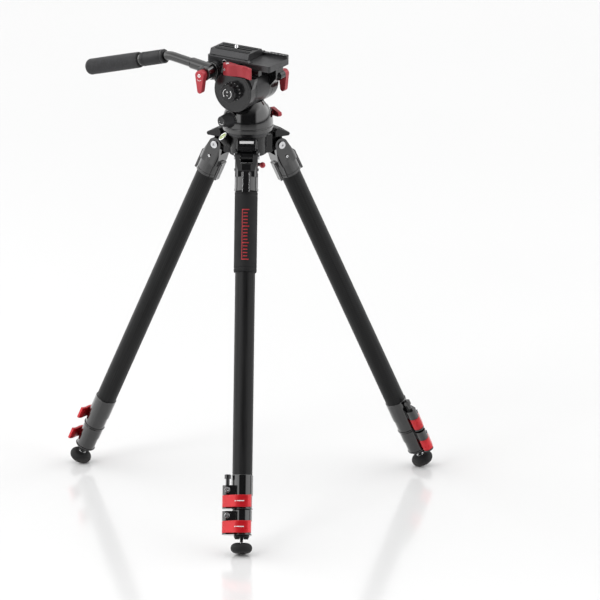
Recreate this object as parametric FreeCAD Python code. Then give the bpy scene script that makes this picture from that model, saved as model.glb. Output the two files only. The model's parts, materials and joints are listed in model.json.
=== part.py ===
import FreeCAD, Part
import math
import os

from FreeCAD import Placement, Rotation, Vector

# A folding three-leg video stand with a fluid head on top, in millimetres, +Z up.
# The origin is on the floor, under the vertical pan axis.
# +X is the lens direction and +Y is the camera's left. The operator stands on the -X side.
# The pan bar is on the -Y side of the head, called the near side, and +Y is the far side.

# ---------------------------------------------------------------- driving dimensions: stand
LEG_AZIMUTHS = (-60.0, 60.0, 180.0)
SPREAD = 25.0            # angle of each leg from the vertical, at its first stop
PIVOT_R = 58.0           # hinge pins, from the pan axis
PIVOT_DROP = 35.0        # hinge pins, below the face that the head stands on
LEG_LENGTH = 710.5       # hinge pin to the centre of the foot
FOOT_EDGE = 9.0          # the foot is a puck with a full round edge of this radius
FOOT_CORE = 10.5         # and this is the radius of its flat
PLATE_R = 39.0
PLATE_T = 8.0
HUB_R = 34.0
HUB_DROP = 46.0          # underside of the hub, below the head's seat
BELL_DROP = 58.0
TONGUE = 11.0            # half width of each hub arm
EAR_IN = 11.6            # the ears of each yoke, from the leg's middle plane
EAR_OUT = 20.5
EAR_R = 12.5
PIN_R = 4.92
PIN_BORE = 5.0
FIT = 0.08               # radial gap of every running fit

UPPER_OD, UPPER_ID = 36.0, 33.2
MIDDLE_OD, MIDDLE_ID = 32.0, 29.2
LOWER_OD, LOWER_ID = 28.0, 24.0
YOKE_END = 65.0          # all of these are distances down the leg from its hinge pin
UPPER_END = 594.0
UPPER_CLAMP = (579.0, 641.5)
LOWER_CLAMP = (642.5, 688.0)
SLEEVE = (65.2, 212.0)
LEVER_TALL = 22.5
LEVER_PIN = (10.0, -26.0)  # each clamp lever's pin, from the leg's own axis
LEVER_PIN_R = 3.0
KNUCKLE_R = 9.3
STEM_R = 2.8
STOP_LOW, STOP_HIGH = 14.4, 31.0  # the sprung tab that stops a leg, above its hinge pin
LEVEL_AZ, LEVEL_TILT = -132.0, 40.0
LEVEL_OUT, LEVEL_DROP = 46.5, 12.0
LEVEL_R = 7.0
LOCK_DROP = 71.0         # underside of the tie-down nut, below the head's seat

# ---------------------------------------------------------------- driving dimensions: head
# Heights are above the head's seat.
BASE_R = 46.0
BASE_T = 9.0
TILT_H = 82.0            # tilt axis
DRUM_R = 37.5
DRUM_Y = (-37.0, 15.0)
NEAR_Y = (-52.0, -37.4)
NEAR_R = 39.0
FAR_Y = (15.4, 50.0)
FAR_R = 37.0
PLATFORM_X = (-65.0, 67.0)
PLATFORM_HALF = 34.0
PLATFORM_H = (122.0, 133.5)
JAW_IN = 21.0            # where the jaws begin, before the dovetail is cut
NEAR_JAW_TOP, FAR_JAW_TOP = 136.5, 139.5
SLIDE_X = (-65.0, 16.0)
SLIDE_H = (133.9, 146.0)
SCREW_X = -24.0
SCREW_R = 3.175          # quarter inch camera screw
PAD_Y, PAD_HALF = 13.2, 5.6
SCREWS = (               # the platform's four screws, at the tops of its jaws
    (-53.0, -29.8, NEAR_JAW_TOP), (15.0, -29.8, NEAR_JAW_TOP),
    (-53.0, 29.8, FAR_JAW_TOP), (48.0, 29.8, FAR_JAW_TOP),
)
AXLE_R, AXLE_END_R = 8.0, 6.0
ROSETTE = (-46.0, 114.0)  # the toothed boss of the pan bar
BOSS_R = 16.5
PLATE_PIN = (-14.0, -45.9)
TILT_LOCK = (46.0, 98.0)
ACCESSORY = (-28.0, 127.5)  # the threaded hole in the platform's near side
BAR_Y = -62.0
KNOB_AZ = -107.0
KNOB_H = 24.5
LOCK_AZ = 60.0
LOCK_H = 25.0
BAR_LIFT = 7.0           # the bar's socket, above the rosette's axis
BAR_RAISE = 8.0          # angle at which the bar is set
BAR_RUN = 82.0           # rosette to the bend of the pan bar
BAR_DROOP = 24.0         # angle of the bend
BAR_OD = 17.0
EXTENSION_R = 11.0
STUD_R = 4.76            # three-eighths inch stud

COS, SIN = math.cos(math.radians(SPREAD)), math.sin(math.radians(SPREAD))
PIVOT_Z = LEG_LENGTH * COS + FOOT_EDGE + FOOT_CORE * SIN
SEAT_Z = PIVOT_Z + PIVOT_DROP
X, Y, Z = Vector(1, 0, 0), Vector(0, 1, 0), Vector(0, 0, 1)
ORIGIN = Vector(0, 0, 0)


# ---------------------------------------------------------------- small tools
def rod(radius, start, end):
    """A cylinder between two points."""
    start, end = Vector(*start), Vector(*end)
    return Part.makeCylinder(radius, (end - start).Length, start, end - start)


def cone(r_start, r_end, start, end):
    """A cone between two points."""
    start, end = Vector(*start), Vector(*end)
    return Part.makeCone(r_start, r_end, (end - start).Length, start, end - start)


def block(x, y, z):
    """A box given by its ranges on the three axes."""
    return Part.makeBox(x[1] - x[0], y[1] - y[0], z[1] - z[0], Vector(x[0], y[0], z[0]))


def joined(*shapes):
    """One solid made of several, with no seams left on shared faces."""
    return shapes[0].fuse(list(shapes[1:])).removeSplitter()


def less(shape, *tools):
    """The shape with the others cut out of it."""
    return shape.cut(list(tools))


def placed(shape, *steps):
    """A copy, moved by each placement in turn."""
    made = shape.copy()
    for step in steps:
        made.Placement = step.multiply(made.Placement)
    return made


def turn(axis, degrees, about=ORIGIN):
    """A placement that turns about an axis through a point."""
    return Placement(ORIGIN, Rotation(axis, degrees), about)


def shift(x=0.0, y=0.0, z=0.0):
    """A placement that only moves."""
    return Placement(Vector(x, y, z), Rotation())


def prism_xz(points, y):
    """The (x, z) outline, extruded from y[0] to y[1]."""
    corners = [Vector(x, y[0], z) for x, z in points]
    return Part.Face(Part.makePolygon([*corners, corners[0]])).extrude(Vector(0, y[1] - y[0], 0))


def prism_yz(points, x):
    """The (y, z) outline, extruded from x[0] to x[1]."""
    corners = [Vector(x[0], y, z) for y, z in points]
    return Part.Face(Part.makePolygon([*corners, corners[0]])).extrude(Vector(x[1] - x[0], 0, 0))


def ribbon(left, right, z):
    """The band between two smooth curves through (x, y) points, extruded in height."""
    edges = []
    for points in (left, right):
        curve = Part.BSplineCurve()
        curve.interpolate([Vector(x, y, z[0]) for x, y in points])
        edges.append(curve.toShape())
    for end in (0, -1):
        edges.append(Part.makeLine(Vector(*left[end], z[0]), Vector(*right[end], z[0])))
    wire = Part.Wire(Part.__sortEdges__(edges))
    return Part.Face(wire).extrude(Vector(0, 0, z[1] - z[0]))


def softened(shape, size, chosen):
    """Rounds the edges that chosen(edge) picks, or bevels them, or leaves a shape that takes neither."""
    edges = [e for e in shape.Edges if chosen(e)]
    if not edges:
        return shape
    for attempt in (shape.makeFillet, shape.makeChamfer):
        try:
            made = attempt(size, edges)
            if made.isValid() and made.Volume > 0:
                return made
        except Exception:
            continue
    return shape


def circle_edges(radius):
    """Picks full circles of one radius."""
    def pick(edge):
        return isinstance(edge.Curve, Part.Circle) and abs(edge.Curve.Radius - radius) < 0.01
    return pick


def along(axis):
    """Picks straight edges that run along an axis."""
    def pick(edge):
        if not isinstance(edge.Curve, Part.Line) or edge.Length < 1.0:
            return False
        run = edge.Vertexes[1].Point - edge.Vertexes[0].Point
        return abs(abs(run.normalize().dot(axis)) - 1) < 1e-4
    return pick


def polar(radius, degrees, z=0.0):
    """The point at a radius and an azimuth."""
    angle = math.radians(degrees)
    return Vector(radius * math.cos(angle), radius * math.sin(angle), z)


def save(name, *solids):
    """Writes one sub-part: a single solid, or a group of separate ones."""
    flat = [s for shape in solids for s in shape.Solids]
    for solid in flat:
        if not solid.isValid() or solid.Volume <= 0:
            print("BAD SOLID in", name)
    shape = flat[0] if len(flat) == 1 else Part.makeCompound(flat)
    shape.exportStep(os.path.join("parts", name + ".step"))


# ---------------------------------------------------------------- leg pieces
# A leg is modelled hanging straight down from its hinge pin at the origin, outwards being +X.
def on_leg(shape, azimuth):
    """Moves a leg's piece to the leg at an azimuth, spread to its first stop."""
    return placed(shape, turn(Y, -SPREAD), shift(PIVOT_R, 0, PIVOT_Z), turn(Z, azimuth))


def tube(outer, inner, top, bottom):
    """A tube by its diameters and its ends' distances down the leg."""
    bore = rod(inner / 2, (0, 0, -top + 1), (0, 0, -bottom - 1))
    return less(rod(outer / 2, (0, 0, -top), (0, 0, -bottom)), bore)


def guided(outer, inner, housing, top, bottom):
    """A tube with a guide ring at its top, which runs in the tube above."""
    ring = rod(housing / 2 - FIT, (0, 0, -top), (0, 0, -top - 22))
    bore = rod(inner / 2, (0, 0, -top + 1), (0, 0, -bottom - 1))
    return less(joined(tube(outer, inner, top, bottom), ring), bore)


def yoke():
    """The collar that holds the upper tube, with two ears on the hinge pin and two ribs."""
    hip = 19.0
    profile = [(-EAR_R, 0), (-hip, -30), (-hip, -40), (hip, -40), (hip, -30), (EAR_R, 0)]
    ears = prism_xz(profile, (-EAR_OUT, EAR_OUT))
    ears = ears.common(rod(24.2, (0, 0, 5), (0, 0, -50)))
    crown = rod(EAR_R, (0, -EAR_OUT, 0), (0, EAR_OUT, 0))
    collar = rod(UPPER_OD / 2 + 3, (0, 0, -32), (0, 0, -YOKE_END))
    lip = rod(UPPER_OD / 2 + 3.6, (0, 0, -YOKE_END + 5), (0, 0, -YOKE_END))
    body = joined(ears, crown, collar, lip)
    rims = (lambda e: e.BoundBox.ZMin > -30 and e.BoundBox.YLength < 0.1 and e.Length > 8)
    body = softened(body, 1.6, rims)
    for side in (-1, 1):
        rib = block((side * 22.0 - 2.5, side * 22.0 + 2.5), (-7, 7), (-YOKE_END - 4, -31))
        body = joined(body, softened(rib, 1.2, along(Z)))
    slot = block((-40, 40), (-EAR_IN, EAR_IN), (-16, 40))
    body = less(body, rod(UPPER_OD / 2 + 3.2, (0, 0, -YOKE_END), (0, 0, -YOKE_END - 10)))
    seat = rod(UPPER_OD / 2, (0, 0, -36), (0, 0, -YOKE_END - 10))
    bore = rod(PIN_BORE, (0, -30, 0), (0, 30, 0))
    window = block((14, 40), (-8, 8), (-29, -17))
    body = less(body, slot, seat, bore, window)
    screws = [rod(2.6, (0, y, -25), (0, y * 1.06, -25)) for y in (-EAR_OUT, EAR_OUT)]
    return joined(body, *screws)


def angle_stop():
    """The sprung tab that sets how far a leg opens. It is pulled outwards to let the leg past."""
    low, high = STOP_LOW, STOP_HIGH
    lean = math.degrees(math.atan2(high - 20.5, 20.5))
    profile = [(-11.5, low), (17, low), (19.5, 17), (18.5, 20.5), (-2, high), (-8, high), (-11.5, 27)]
    body = softened(prism_xz(profile, (-17.5, 17.5)), 1.2, along(Y))
    ends = (lambda e: e.BoundBox.YLength < 0.01 and e.BoundBox.ZMin > low + 3 and e.Length > 5)
    body = softened(body, 2.0, ends)
    window = placed(block((-8.6, 7.4), (-14.0, 14.0), (-1.4, 3)), turn(Y, lean), shift(9.0, 0, 25.4))
    return less(body, window)


def clamp(top, bottom, outer, seat, bore, tall_pin):
    """A casting that ends one tube and grips the next, its lever's pin and its bolt."""
    px, py = LEVER_PIN
    lever_top = bottom - 2.5 - LEVER_TALL
    seat_end = lever_top - 21.5 if tall_pin else lever_top - 12
    body = rod(outer, (0, 0, -top), (0, 0, -bottom))
    body = softened(body, 1.0, circle_edges(outer))
    parts = []
    for a, b in ((lever_top - 17.5, lever_top - 0.4), (bottom - 2.3, bottom)):
        a = max(a, top)
        neck = block((px - 9, px + 9.2), (py, -10), (-b, -a))
        parts.append(joined(rod(KNUCKLE_R, (px, py, -a), (px, py, -b)), neck))
    body = joined(body, *parts)
    relief = rod(KNUCKLE_R + 0.6, (px, py, -lever_top + 0.4), (px, py, -bottom + 2.3))
    band = less(
        rod(outer + 30, (0, 0, -lever_top + 0.4), (0, 0, -bottom + 2.3)),
        rod(outer - 1.2, (0, 0, -lever_top + 2), (0, 0, -bottom)),
    )
    tube_seat = rod(seat, (0, 0, -top + 5), (0, 0, -seat_end))
    through = rod(bore, (0, 0, -top + 5), (0, 0, -bottom - 5))
    pin_hole = rod(LEVER_PIN_R, (px, py, -top + 5), (px, py, -bottom - 5))
    bolt_at = -(lever_top - 9)
    bolt_hole = rod(2.5, (px - 4, py, bolt_at), (px + 20, py, bolt_at))
    body = less(body, relief, band, tube_seat, through, pin_hole, bolt_hole)
    split_end = -lever_top + 17 if tall_pin else -top + 20
    body = less(body, block((px - 3, px + 12), (-11.0, -10.2), (-lever_top + 0.3, split_end)))
    pins = [rod(LEVER_PIN_R, (px, py, bolt_at - 3), (px, py, -bottom))]
    if tall_pin:
        knuckle_top = -(lever_top - 17.5)
        stem = joined(
            rod(LEVER_PIN_R, (px, py, bolt_at + 3), (px, py, knuckle_top)),
            rod(LEVER_PIN_R + 0.6, (px, py, knuckle_top), (px, py, -top)),
        )
        cap = rod(5.8, (px, py, -top - 8), (px, py, -top))
        pins.append(softened(joined(stem, cap), 0.8, circle_edges(5.8)))
    bolt = joined(
        rod(2.5, (px - 4, py, bolt_at), (px + 9, py, bolt_at)),
        rod(4.6, (px + 9.3, py, bolt_at), (px + 11.2, py, bolt_at)),
    )
    bolt = less(bolt, rod(2.0, (px + 10, py, bolt_at), (px + 12, py, bolt_at)))
    return [body, *pins, bolt]


def clamp_lever(bottom):
    """The red lever: a ring on its pin, and an arm that wraps round the leg and flares at its tip."""
    px, py = LEVER_PIN
    low, high = -(bottom - 2.6), -(bottom - 2.6 - LEVER_TALL + 0.3)
    ring = rod(KNUCKLE_R, (px, py, low), (px, py, high))
    outer = [(px + 8.2, py - 4.0), (24.5, -16), (27.5, -4), (27.6, 6), (30.5, 16.5)]
    inner = [(px - 0.5, py + 8.0), (19.5, -12.5), (22.9, -3), (23.2, 7), (26.2, 18.0)]
    arm = ribbon(outer, inner, (low, high))
    body = joined(ring, arm)
    body = softened(body, 1.0, lambda e: e.Length > 12 and e.BoundBox.ZLength < 0.01)
    return less(body, rod(LEVER_PIN_R + FIT, (px, py, low - 1), (px, py, high + 1)))


def lower_tube():
    """The inner tube, its end plug and the threaded stem that carries the foot."""
    end = LOWER_CLAMP[1] + 1.0
    wall = guided(LOWER_OD, LOWER_ID, MIDDLE_ID, 80.0, end)
    plug = rod(LOWER_ID / 2, (0, 0, -end + 16), (0, 0, -end))
    cap = softened(rod(13.6, (0, 0, -end), (0, 0, -end - 3)), 0.8, circle_edges(13.6))
    stem = rod(STEM_R, (0, 0, -end - 3), (0, 0, -(LEG_LENGTH + 3)))
    lugs = [block((-5, 5), (side - 4, side + 4), (-end - 5.2, -end - 2)) for side in (-8.0, 8.0)]
    return [wall, joined(plug, cap, stem, *lugs)]


def foot():
    """A round rubber foot on a blind bore."""
    puck = joined(
        Part.makeTorus(FOOT_CORE, FOOT_EDGE, Vector(0, 0, -LEG_LENGTH), Z),
        rod(FOOT_CORE, (0, 0, -LEG_LENGTH - FOOT_EDGE), (0, 0, -LEG_LENGTH + FOOT_EDGE)),
    )
    bore = rod(STEM_R + FIT, (0, 0, -LEG_LENGTH - 3.3), (0, 0, -LEG_LENGTH + 20))
    return less(puck.removeSplitter(), bore)


def legs():
    """Saves the nodes of the three legs, and the rubber sleeve of the first."""
    upper_bore, lower_bore = MIDDLE_OD / 2 + FIT, LOWER_OD / 2 + FIT
    for number, azimuth in enumerate(LEG_AZIMUTHS, 1):
        name = f"leg_{number}_"
        pieces = {
            "yoke": [yoke()],
            "upper_tube": [tube(UPPER_OD, UPPER_ID, 36.0, UPPER_END)],
            "upper_clamp": clamp(*UPPER_CLAMP, 19.4, UPPER_OD / 2, upper_bore, True),
            "upper_lever": [clamp_lever(UPPER_CLAMP[1])],
            "middle_tube": [guided(MIDDLE_OD, MIDDLE_ID, UPPER_ID, 75.0, LOWER_CLAMP[0] + 8)],
            "lower_clamp": clamp(*LOWER_CLAMP, 18.2, MIDDLE_OD / 2, lower_bore, False),
            "lower_lever": [clamp_lever(LOWER_CLAMP[1])],
            "lower_tube": lower_tube(),
            "foot": [foot()],
        }
        for part, solids in pieces.items():
            save(name + part, *[on_leg(s, azimuth) for s in solids])
        stop = placed(angle_stop(), shift(PIVOT_R, 0, PIVOT_Z), turn(Z, azimuth))
        save(name + "angle_stop", stop)
    sleeve = tube(41.6, UPPER_OD, *SLEEVE)
    sleeve = softened(sleeve, 0.8, circle_edges(20.8))
    save("leg_1_sleeve", on_leg(sleeve, LEG_AZIMUTHS[0]))


# ---------------------------------------------------------------- hub pieces
def on_shoulder(shape):
    """Moves a piece of the bubble level to its place beside the plate."""
    return placed(
        shape, turn(Y, LEVEL_TILT), shift(LEVEL_OUT, 0, SEAT_Z - LEVEL_DROP), turn(Z, LEVEL_AZ)
    )


def hub_casting():
    """The hub: a hollow boss with three arms, a seat for the plate and a cup for the bubble level."""
    top = SEAT_Z - PLATE_T
    body = rod(HUB_R, (0, 0, SEAT_Z - HUB_DROP), (0, 0, top))
    lower_rim = (lambda e: circle_edges(HUB_R)(e) and e.BoundBox.ZMax < top - 1)
    body = softened(body, 2.0, lower_rim)
    ring = rod(PLATE_R - 3, (0, 0, top - 4), (0, 0, top))
    bell = cone(26, 15, (0, 0, SEAT_Z - HUB_DROP), (0, 0, SEAT_Z - BELL_DROP))
    body = joined(body, ring, bell)
    for azimuth in LEG_AZIMUTHS:
        arm = joined(
            block((15, PIVOT_R), (-TONGUE, TONGUE), (-12, 12)),
            rod(12, (PIVOT_R, -TONGUE, 0), (PIVOT_R, TONGUE, 0)),
            block((30, PIVOT_R + 6), (-TONGUE, TONGUE), (0, 14)),
        )
        hip = softened(block((22, 42), (-19, 19), (-11, 22)), 4.0, along(Z))
        arm = joined(arm, hip)
        arm = less(arm, rod(PIN_BORE, (PIVOT_R, -40, 0), (PIVOT_R, 40, 0)))
        body = joined(body, placed(arm, shift(0, 0, PIVOT_Z), turn(Z, azimuth)))
    level = on_shoulder(joined(rod(9.5, (0, 0, -14), (0, 0, 0)), rod(6, (0, 0, -22), (0, 0, -10))))
    body = joined(body, level)
    cup = on_shoulder(rod(LEVEL_R, (0, 0, -6), (0, 0, 5)))
    stud_hole = rod(5.2, (0, 0, 0), (0, 0, 2 * SEAT_Z))
    hollow = rod(24, (0, 0, SEAT_Z - HUB_DROP + 6), (0, 0, top - 8))
    flange_seat = rod(9, (0, 0, top - 5), (0, 0, top + 1))
    plate_room = rod(PLATE_R + 0.4, (0, 0, top), (0, 0, top + 40))
    return less(less(body, cup, stud_hole), hollow, flange_seat, plate_room)


def bubble_level():
    """The vial of the level, with a rounded glass."""
    vial = rod(LEVEL_R, (0, 0, -6), (0, 0, 0.6))
    glass_rim = (lambda e: circle_edges(LEVEL_R)(e) and e.BoundBox.ZMin > 0)
    return on_shoulder(softened(vial, 1.2, glass_rim))


def top_plate():
    """The disc that the head stands on, with turned rings and three screw holes."""
    disc = rod(PLATE_R, (0, 0, SEAT_Z - PLATE_T), (0, 0, SEAT_Z))
    disc = softened(disc, 1.2, circle_edges(PLATE_R))
    grooves = []
    for radius in (14, 20, 26, 32):
        grooves.append(less(
            rod(radius + 1.2, (0, 0, SEAT_Z - 0.7), (0, 0, SEAT_Z + 1)),
            rod(radius - 1.2, (0, 0, SEAT_Z - 2), (0, 0, SEAT_Z + 2)),
        ))
    holes = []
    for azimuth in (0, 120, 240):
        at = polar(23, azimuth)
        holes.append(rod(2.2, (at.x, at.y, SEAT_Z - PLATE_T - 1), (at.x, at.y, SEAT_Z + 1)))
    return less(disc, rod(STUD_R, (0, 0, 0), (0, 0, 2 * SEAT_Z)), *grooves, *holes)


def head_stud():
    """The long stud that the head screws onto, held by a flange under the plate."""
    shaft = rod(STUD_R, (0, 0, SEAT_Z - 66), (0, 0, SEAT_Z + 9.5))
    flange = rod(9, (0, 0, SEAT_Z - PLATE_T - 5), (0, 0, SEAT_Z - PLATE_T))
    shaft = softened(shaft, 0.7, circle_edges(STUD_R))
    return joined(shaft, flange)


def pivot_bolts():
    """The three hinge pins, with a socket head at each end."""
    made = []
    face = EAR_OUT + 0.3
    for azimuth in LEG_AZIMUTHS:
        bolt = rod(PIN_R, (0, -face, 0), (0, face, 0))
        for side in (-1, 1):
            head = rod(6.8, (0, side * face, 0), (0, side * (face + 2.2), 0))
            head = softened(head, 0.5, circle_edges(6.8))
            socket = rod(2.9, (0, side * (face + 0.7), 0), (0, side * (face + 3.7), 0))
            bolt = joined(bolt, less(head, socket))
        made.append(placed(bolt, shift(PIVOT_R, 0, PIVOT_Z), turn(Z, azimuth)))
    return made


def platform_lock_lever():
    """The tie-down nut under the hub, with a short arm and a ball tip."""
    low = SEAT_Z - LOCK_DROP
    nut = softened(rod(14, (0, 0, low), (0, 0, low + 12)), 1.5, circle_edges(14))
    arm = rod(3.2, (10, 0, low + 6), (30, 0, low + 6))
    tip = Part.makeSphere(5.2, Vector(31, 0, low + 6))
    return less(joined(nut, arm, tip), rod(STUD_R + FIT, (0, 0, low + 4.6), (0, 0, low + 40)))


# ---------------------------------------------------------------- head pieces
# They are modelled with their heights above the seat.
def on_seat(shape):
    """Lifts a head piece onto the hub."""
    return placed(shape, shift(0, 0, SEAT_Z))


def base_plate():
    """The part of the head that stays still: a flange with a threaded bore, and the pan shaft."""
    flange = softened(rod(BASE_R, (0, 0, 0), (0, 0, BASE_T)), 1.0, circle_edges(BASE_R))
    groove = less(rod(BASE_R + 2, (0, 0, 6.6), (0, 0, 7.6)), rod(BASE_R - 0.9, (0, 0, 6), (0, 0, 8)))
    shaft = rod(14, (0, 0, BASE_T), (0, 0, 30))
    return less(joined(flange, shaft), groove, rod(STUD_R + 0.09, (0, 0, -1), (0, 0, 11)))


def pan_housing():
    """The bell that turns on the pan shaft and carries the drum in a saddle."""
    arc = Part.Arc(Vector(BASE_R - 0.2, 0, 11), Vector(43.6, 0, 27), Vector(33.5, 0, 47)).toShape()
    corners = [
        (33.5, 47), (28, 54), (0, 54), (0, 31), (14 + FIT, 31), (14 + FIT, BASE_T + 0.4),
        (BASE_R - 0.2, BASE_T + 0.4), (BASE_R - 0.2, 11),
    ]
    lines = Part.makePolygon([Vector(x, 0, z) for x, z in corners])
    bell = Part.Face(Part.Wire([arc, *lines.Edges])).revolve(ORIGIN, Z, 360)
    bell = bell.Solids[0] if bell.Solids else bell
    knob_at, knob_in = polar(38.5, KNOB_AZ, KNOB_H), polar(20, KNOB_AZ, KNOB_H)
    lock_at, lock_in = polar(45.6, LOCK_AZ, LOCK_H), polar(20, LOCK_AZ, LOCK_H)
    bosses = [rod(17.2, knob_in, polar(42.5, KNOB_AZ, KNOB_H)), rod(8.0, lock_in, lock_at)]
    body = joined(bell, less(joined(*bosses), block((-80, 80), (-80, 80), (-20, BASE_T + 1.4))))
    saddle = rod(DRUM_R, (0, DRUM_Y[0] - 0.2, TILT_H), (0, DRUM_Y[1] + 0.2, TILT_H))
    near = rod(NEAR_R + 0.6, (0, -80, TILT_H), (0, DRUM_Y[0] - 0.1, TILT_H))
    far = rod(FAR_R + 9.5, (0, DRUM_Y[1] + 0.1, TILT_H), (0, 80, TILT_H))
    knob_bore = rod(4.0, polar(24, KNOB_AZ, KNOB_H), polar(60, KNOB_AZ, KNOB_H))
    knob_well = rod(15.2, knob_at, polar(70, KNOB_AZ, KNOB_H))
    lock_bore = rod(3.6, polar(28, LOCK_AZ, LOCK_H), polar(70, LOCK_AZ, LOCK_H))
    return less(body, saddle, near, far, knob_bore, knob_well, lock_bore)


def tilt_drum():
    """The still drum between the cheeks: a shell round the axle, with its two seams turned in."""
    body = rod(DRUM_R, (0, DRUM_Y[0], TILT_H), (0, DRUM_Y[1], TILT_H))
    hollow = less(
        rod(31, (0, DRUM_Y[0] + 5, TILT_H), (0, DRUM_Y[1] - 5, TILT_H)),
        rod(13, (0, -60, TILT_H), (0, 60, TILT_H)),
    )
    seam = less(
        rod(DRUM_R + 3, (0, -29.4, TILT_H), (0, -28.6, TILT_H)),
        rod(DRUM_R - 0.7, (0, -60, TILT_H), (0, 60, TILT_H)),
    )
    return less(body, hollow, seam, rod(AXLE_R + FIT, (0, -60, TILT_H), (0, 60, TILT_H)))


def tilt_axle():
    """The axle through the drum, whose thinner ends carry the cheeks and the two knobs."""
    middle = rod(AXLE_R, (0, DRUM_Y[0] - 0.4, TILT_H), (0, DRUM_Y[1] + 0.4, TILT_H))
    return joined(middle, rod(AXLE_END_R, (0, -62, TILT_H), (0, 60, TILT_H)))


def skirt_rear():
    """The rear outline of both skirts, which follows the round boss down to the drum."""
    rx, rz = ROSETTE
    angles = [math.radians(d) for d in range(180, 286, 15)]
    arc = [(rx + BOSS_R * math.cos(a), rz + BOSS_R * math.sin(a)) for a in angles]
    return [(rx - BOSS_R, PLATFORM_H[0]), *arc, (-34, 84)]


def near_cheek():
    """The cheek on the bar's side: a disc on the tilt axis, a skirt and a toothed boss."""
    rx, rz = ROSETTE
    disc = rod(NEAR_R, (0, NEAR_Y[0], TILT_H), (0, NEAR_Y[1], TILT_H))
    disc = softened(disc, 1.6, circle_edges(NEAR_R))
    top = PLATFORM_H[0]
    skirt = prism_xz([*skirt_rear(), (34, 76), (44, 106), (44, top)], (-48, NEAR_Y[1]))
    roof = prism_xz([(-62, top), (-62, 112), (44, 112), (44, top)], (-37.5, -24))
    roof = less(roof, rod(DRUM_R + 0.6, (0, -50, TILT_H), (0, 0, TILT_H)))
    bezel = less(
        rod(NEAR_R - 3.5, (0, NEAR_Y[0] - 1, TILT_H), (0, NEAR_Y[0] + 0.8, TILT_H)),
        rod(NEAR_R - 4.3, (0, NEAR_Y[0] - 2, TILT_H), (0, 0, TILT_H)),
    )
    boss = rod(BOSS_R, (rx, -50, rz), (rx, -36, rz))
    body = joined(disc, skirt, roof, boss)
    slope = prism_yz([(-80, 112), (-80, 140), (-34.2, 140), (-34.2, top + 0.1), (-49, 112)], (-80, -23.5))
    pocket = block((-23.5, 80), (-80, -PLATFORM_HALF - 0.2), (110, 140))
    body = joined(less(body, slope, pocket, bezel), boss)
    teeth = []
    for k in range(24):
        tooth = prism_xz([(-0.9, 9.0), (0.9, 9.0), (1.5, 17.5), (-1.5, 17.5)], (-50.9, -49.8))
        teeth.append(placed(tooth, turn(Y, k * 15.0), shift(rx, 0, rz)))
    body = joined(body, *teeth)
    pin = rod(LEVER_PIN_R, (*PLATE_PIN, 104), (*PLATE_PIN, 131))
    cut = [rod(AXLE_END_R, (0, -60, TILT_H), (0, 0, TILT_H)), rod(4.3, (rx, -60, rz), (rx, -41, rz))]
    return joined(less(body, *cut), pin)


def far_cheek():
    """The far cheek, deeper and rounded, with the tilt lock's boss and a spare bar boss."""
    rx, rz = ROSETTE
    drum = rod(FAR_R, (0, FAR_Y[0], TILT_H), (0, FAR_Y[1], TILT_H))
    drum = softened(drum, 6.0, lambda e: circle_edges(FAR_R)(e) and e.BoundBox.YMin > 40)
    top = PLATFORM_H[0]
    skirt = prism_xz([*skirt_rear(), (32, 76), (50, 96), (50, top)], (FAR_Y[0], 40))
    front_corners = (lambda e: along(Y)(e) and e.BoundBox.ZMax < 105 and e.BoundBox.XMin > 20)
    skirt = softened(skirt, 5.0, front_corners)
    slope = prism_yz([(80, 112), (80, 140), (34.2, 140), (34.2, top + 0.1), (41, 112)], (-90, 90))
    skirt = less(skirt, slope)
    boss = rod(BOSS_R, (rx, 30, rz), (rx, 44, rz))
    lx, lz = TILT_LOCK
    lock = rod(8.5, (lx, 27, lz), (lx, 42, lz))
    seam = less(
        rod(FAR_R + 3, (0, 27, TILT_H), (0, 27.9, TILT_H)),
        rod(FAR_R - 0.8, (0, 0, TILT_H), (0, 60, TILT_H)),
    )
    lower = block((-80, 80), (0, 80), (0, TILT_H + 18))
    body = less(
        joined(drum, skirt, boss, lock),
        seam.common(lower),
        rod(AXLE_END_R, (0, 10, TILT_H), (0, 60, TILT_H)),
        rod(AXLE_R, (0, 10, TILT_H), (0, FAR_Y[0], TILT_H)),
        rod(4.3, (rx, 35, rz), (rx, 60, rz)),
    )
    platform_room = block((-90, 90), (-PLATFORM_HALF, PLATFORM_HALF + 0.2), (top, 150))
    return less(body, rod(3.6, (lx, 33, lz), (lx, 60, lz)), platform_room)


def dovetail(grow, x):
    """The section of the camera plate's foot, grown on every side but the bottom."""
    low, high = SLIDE_H
    wide, narrow, edge = 25.6 + grow, 21.4 + grow, low + 2.4 + grow / 2
    points = [(-wide, low), (wide, low), (wide, edge), (narrow, high), (-narrow, high), (-wide, edge)]
    return prism_yz(points, x)


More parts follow.
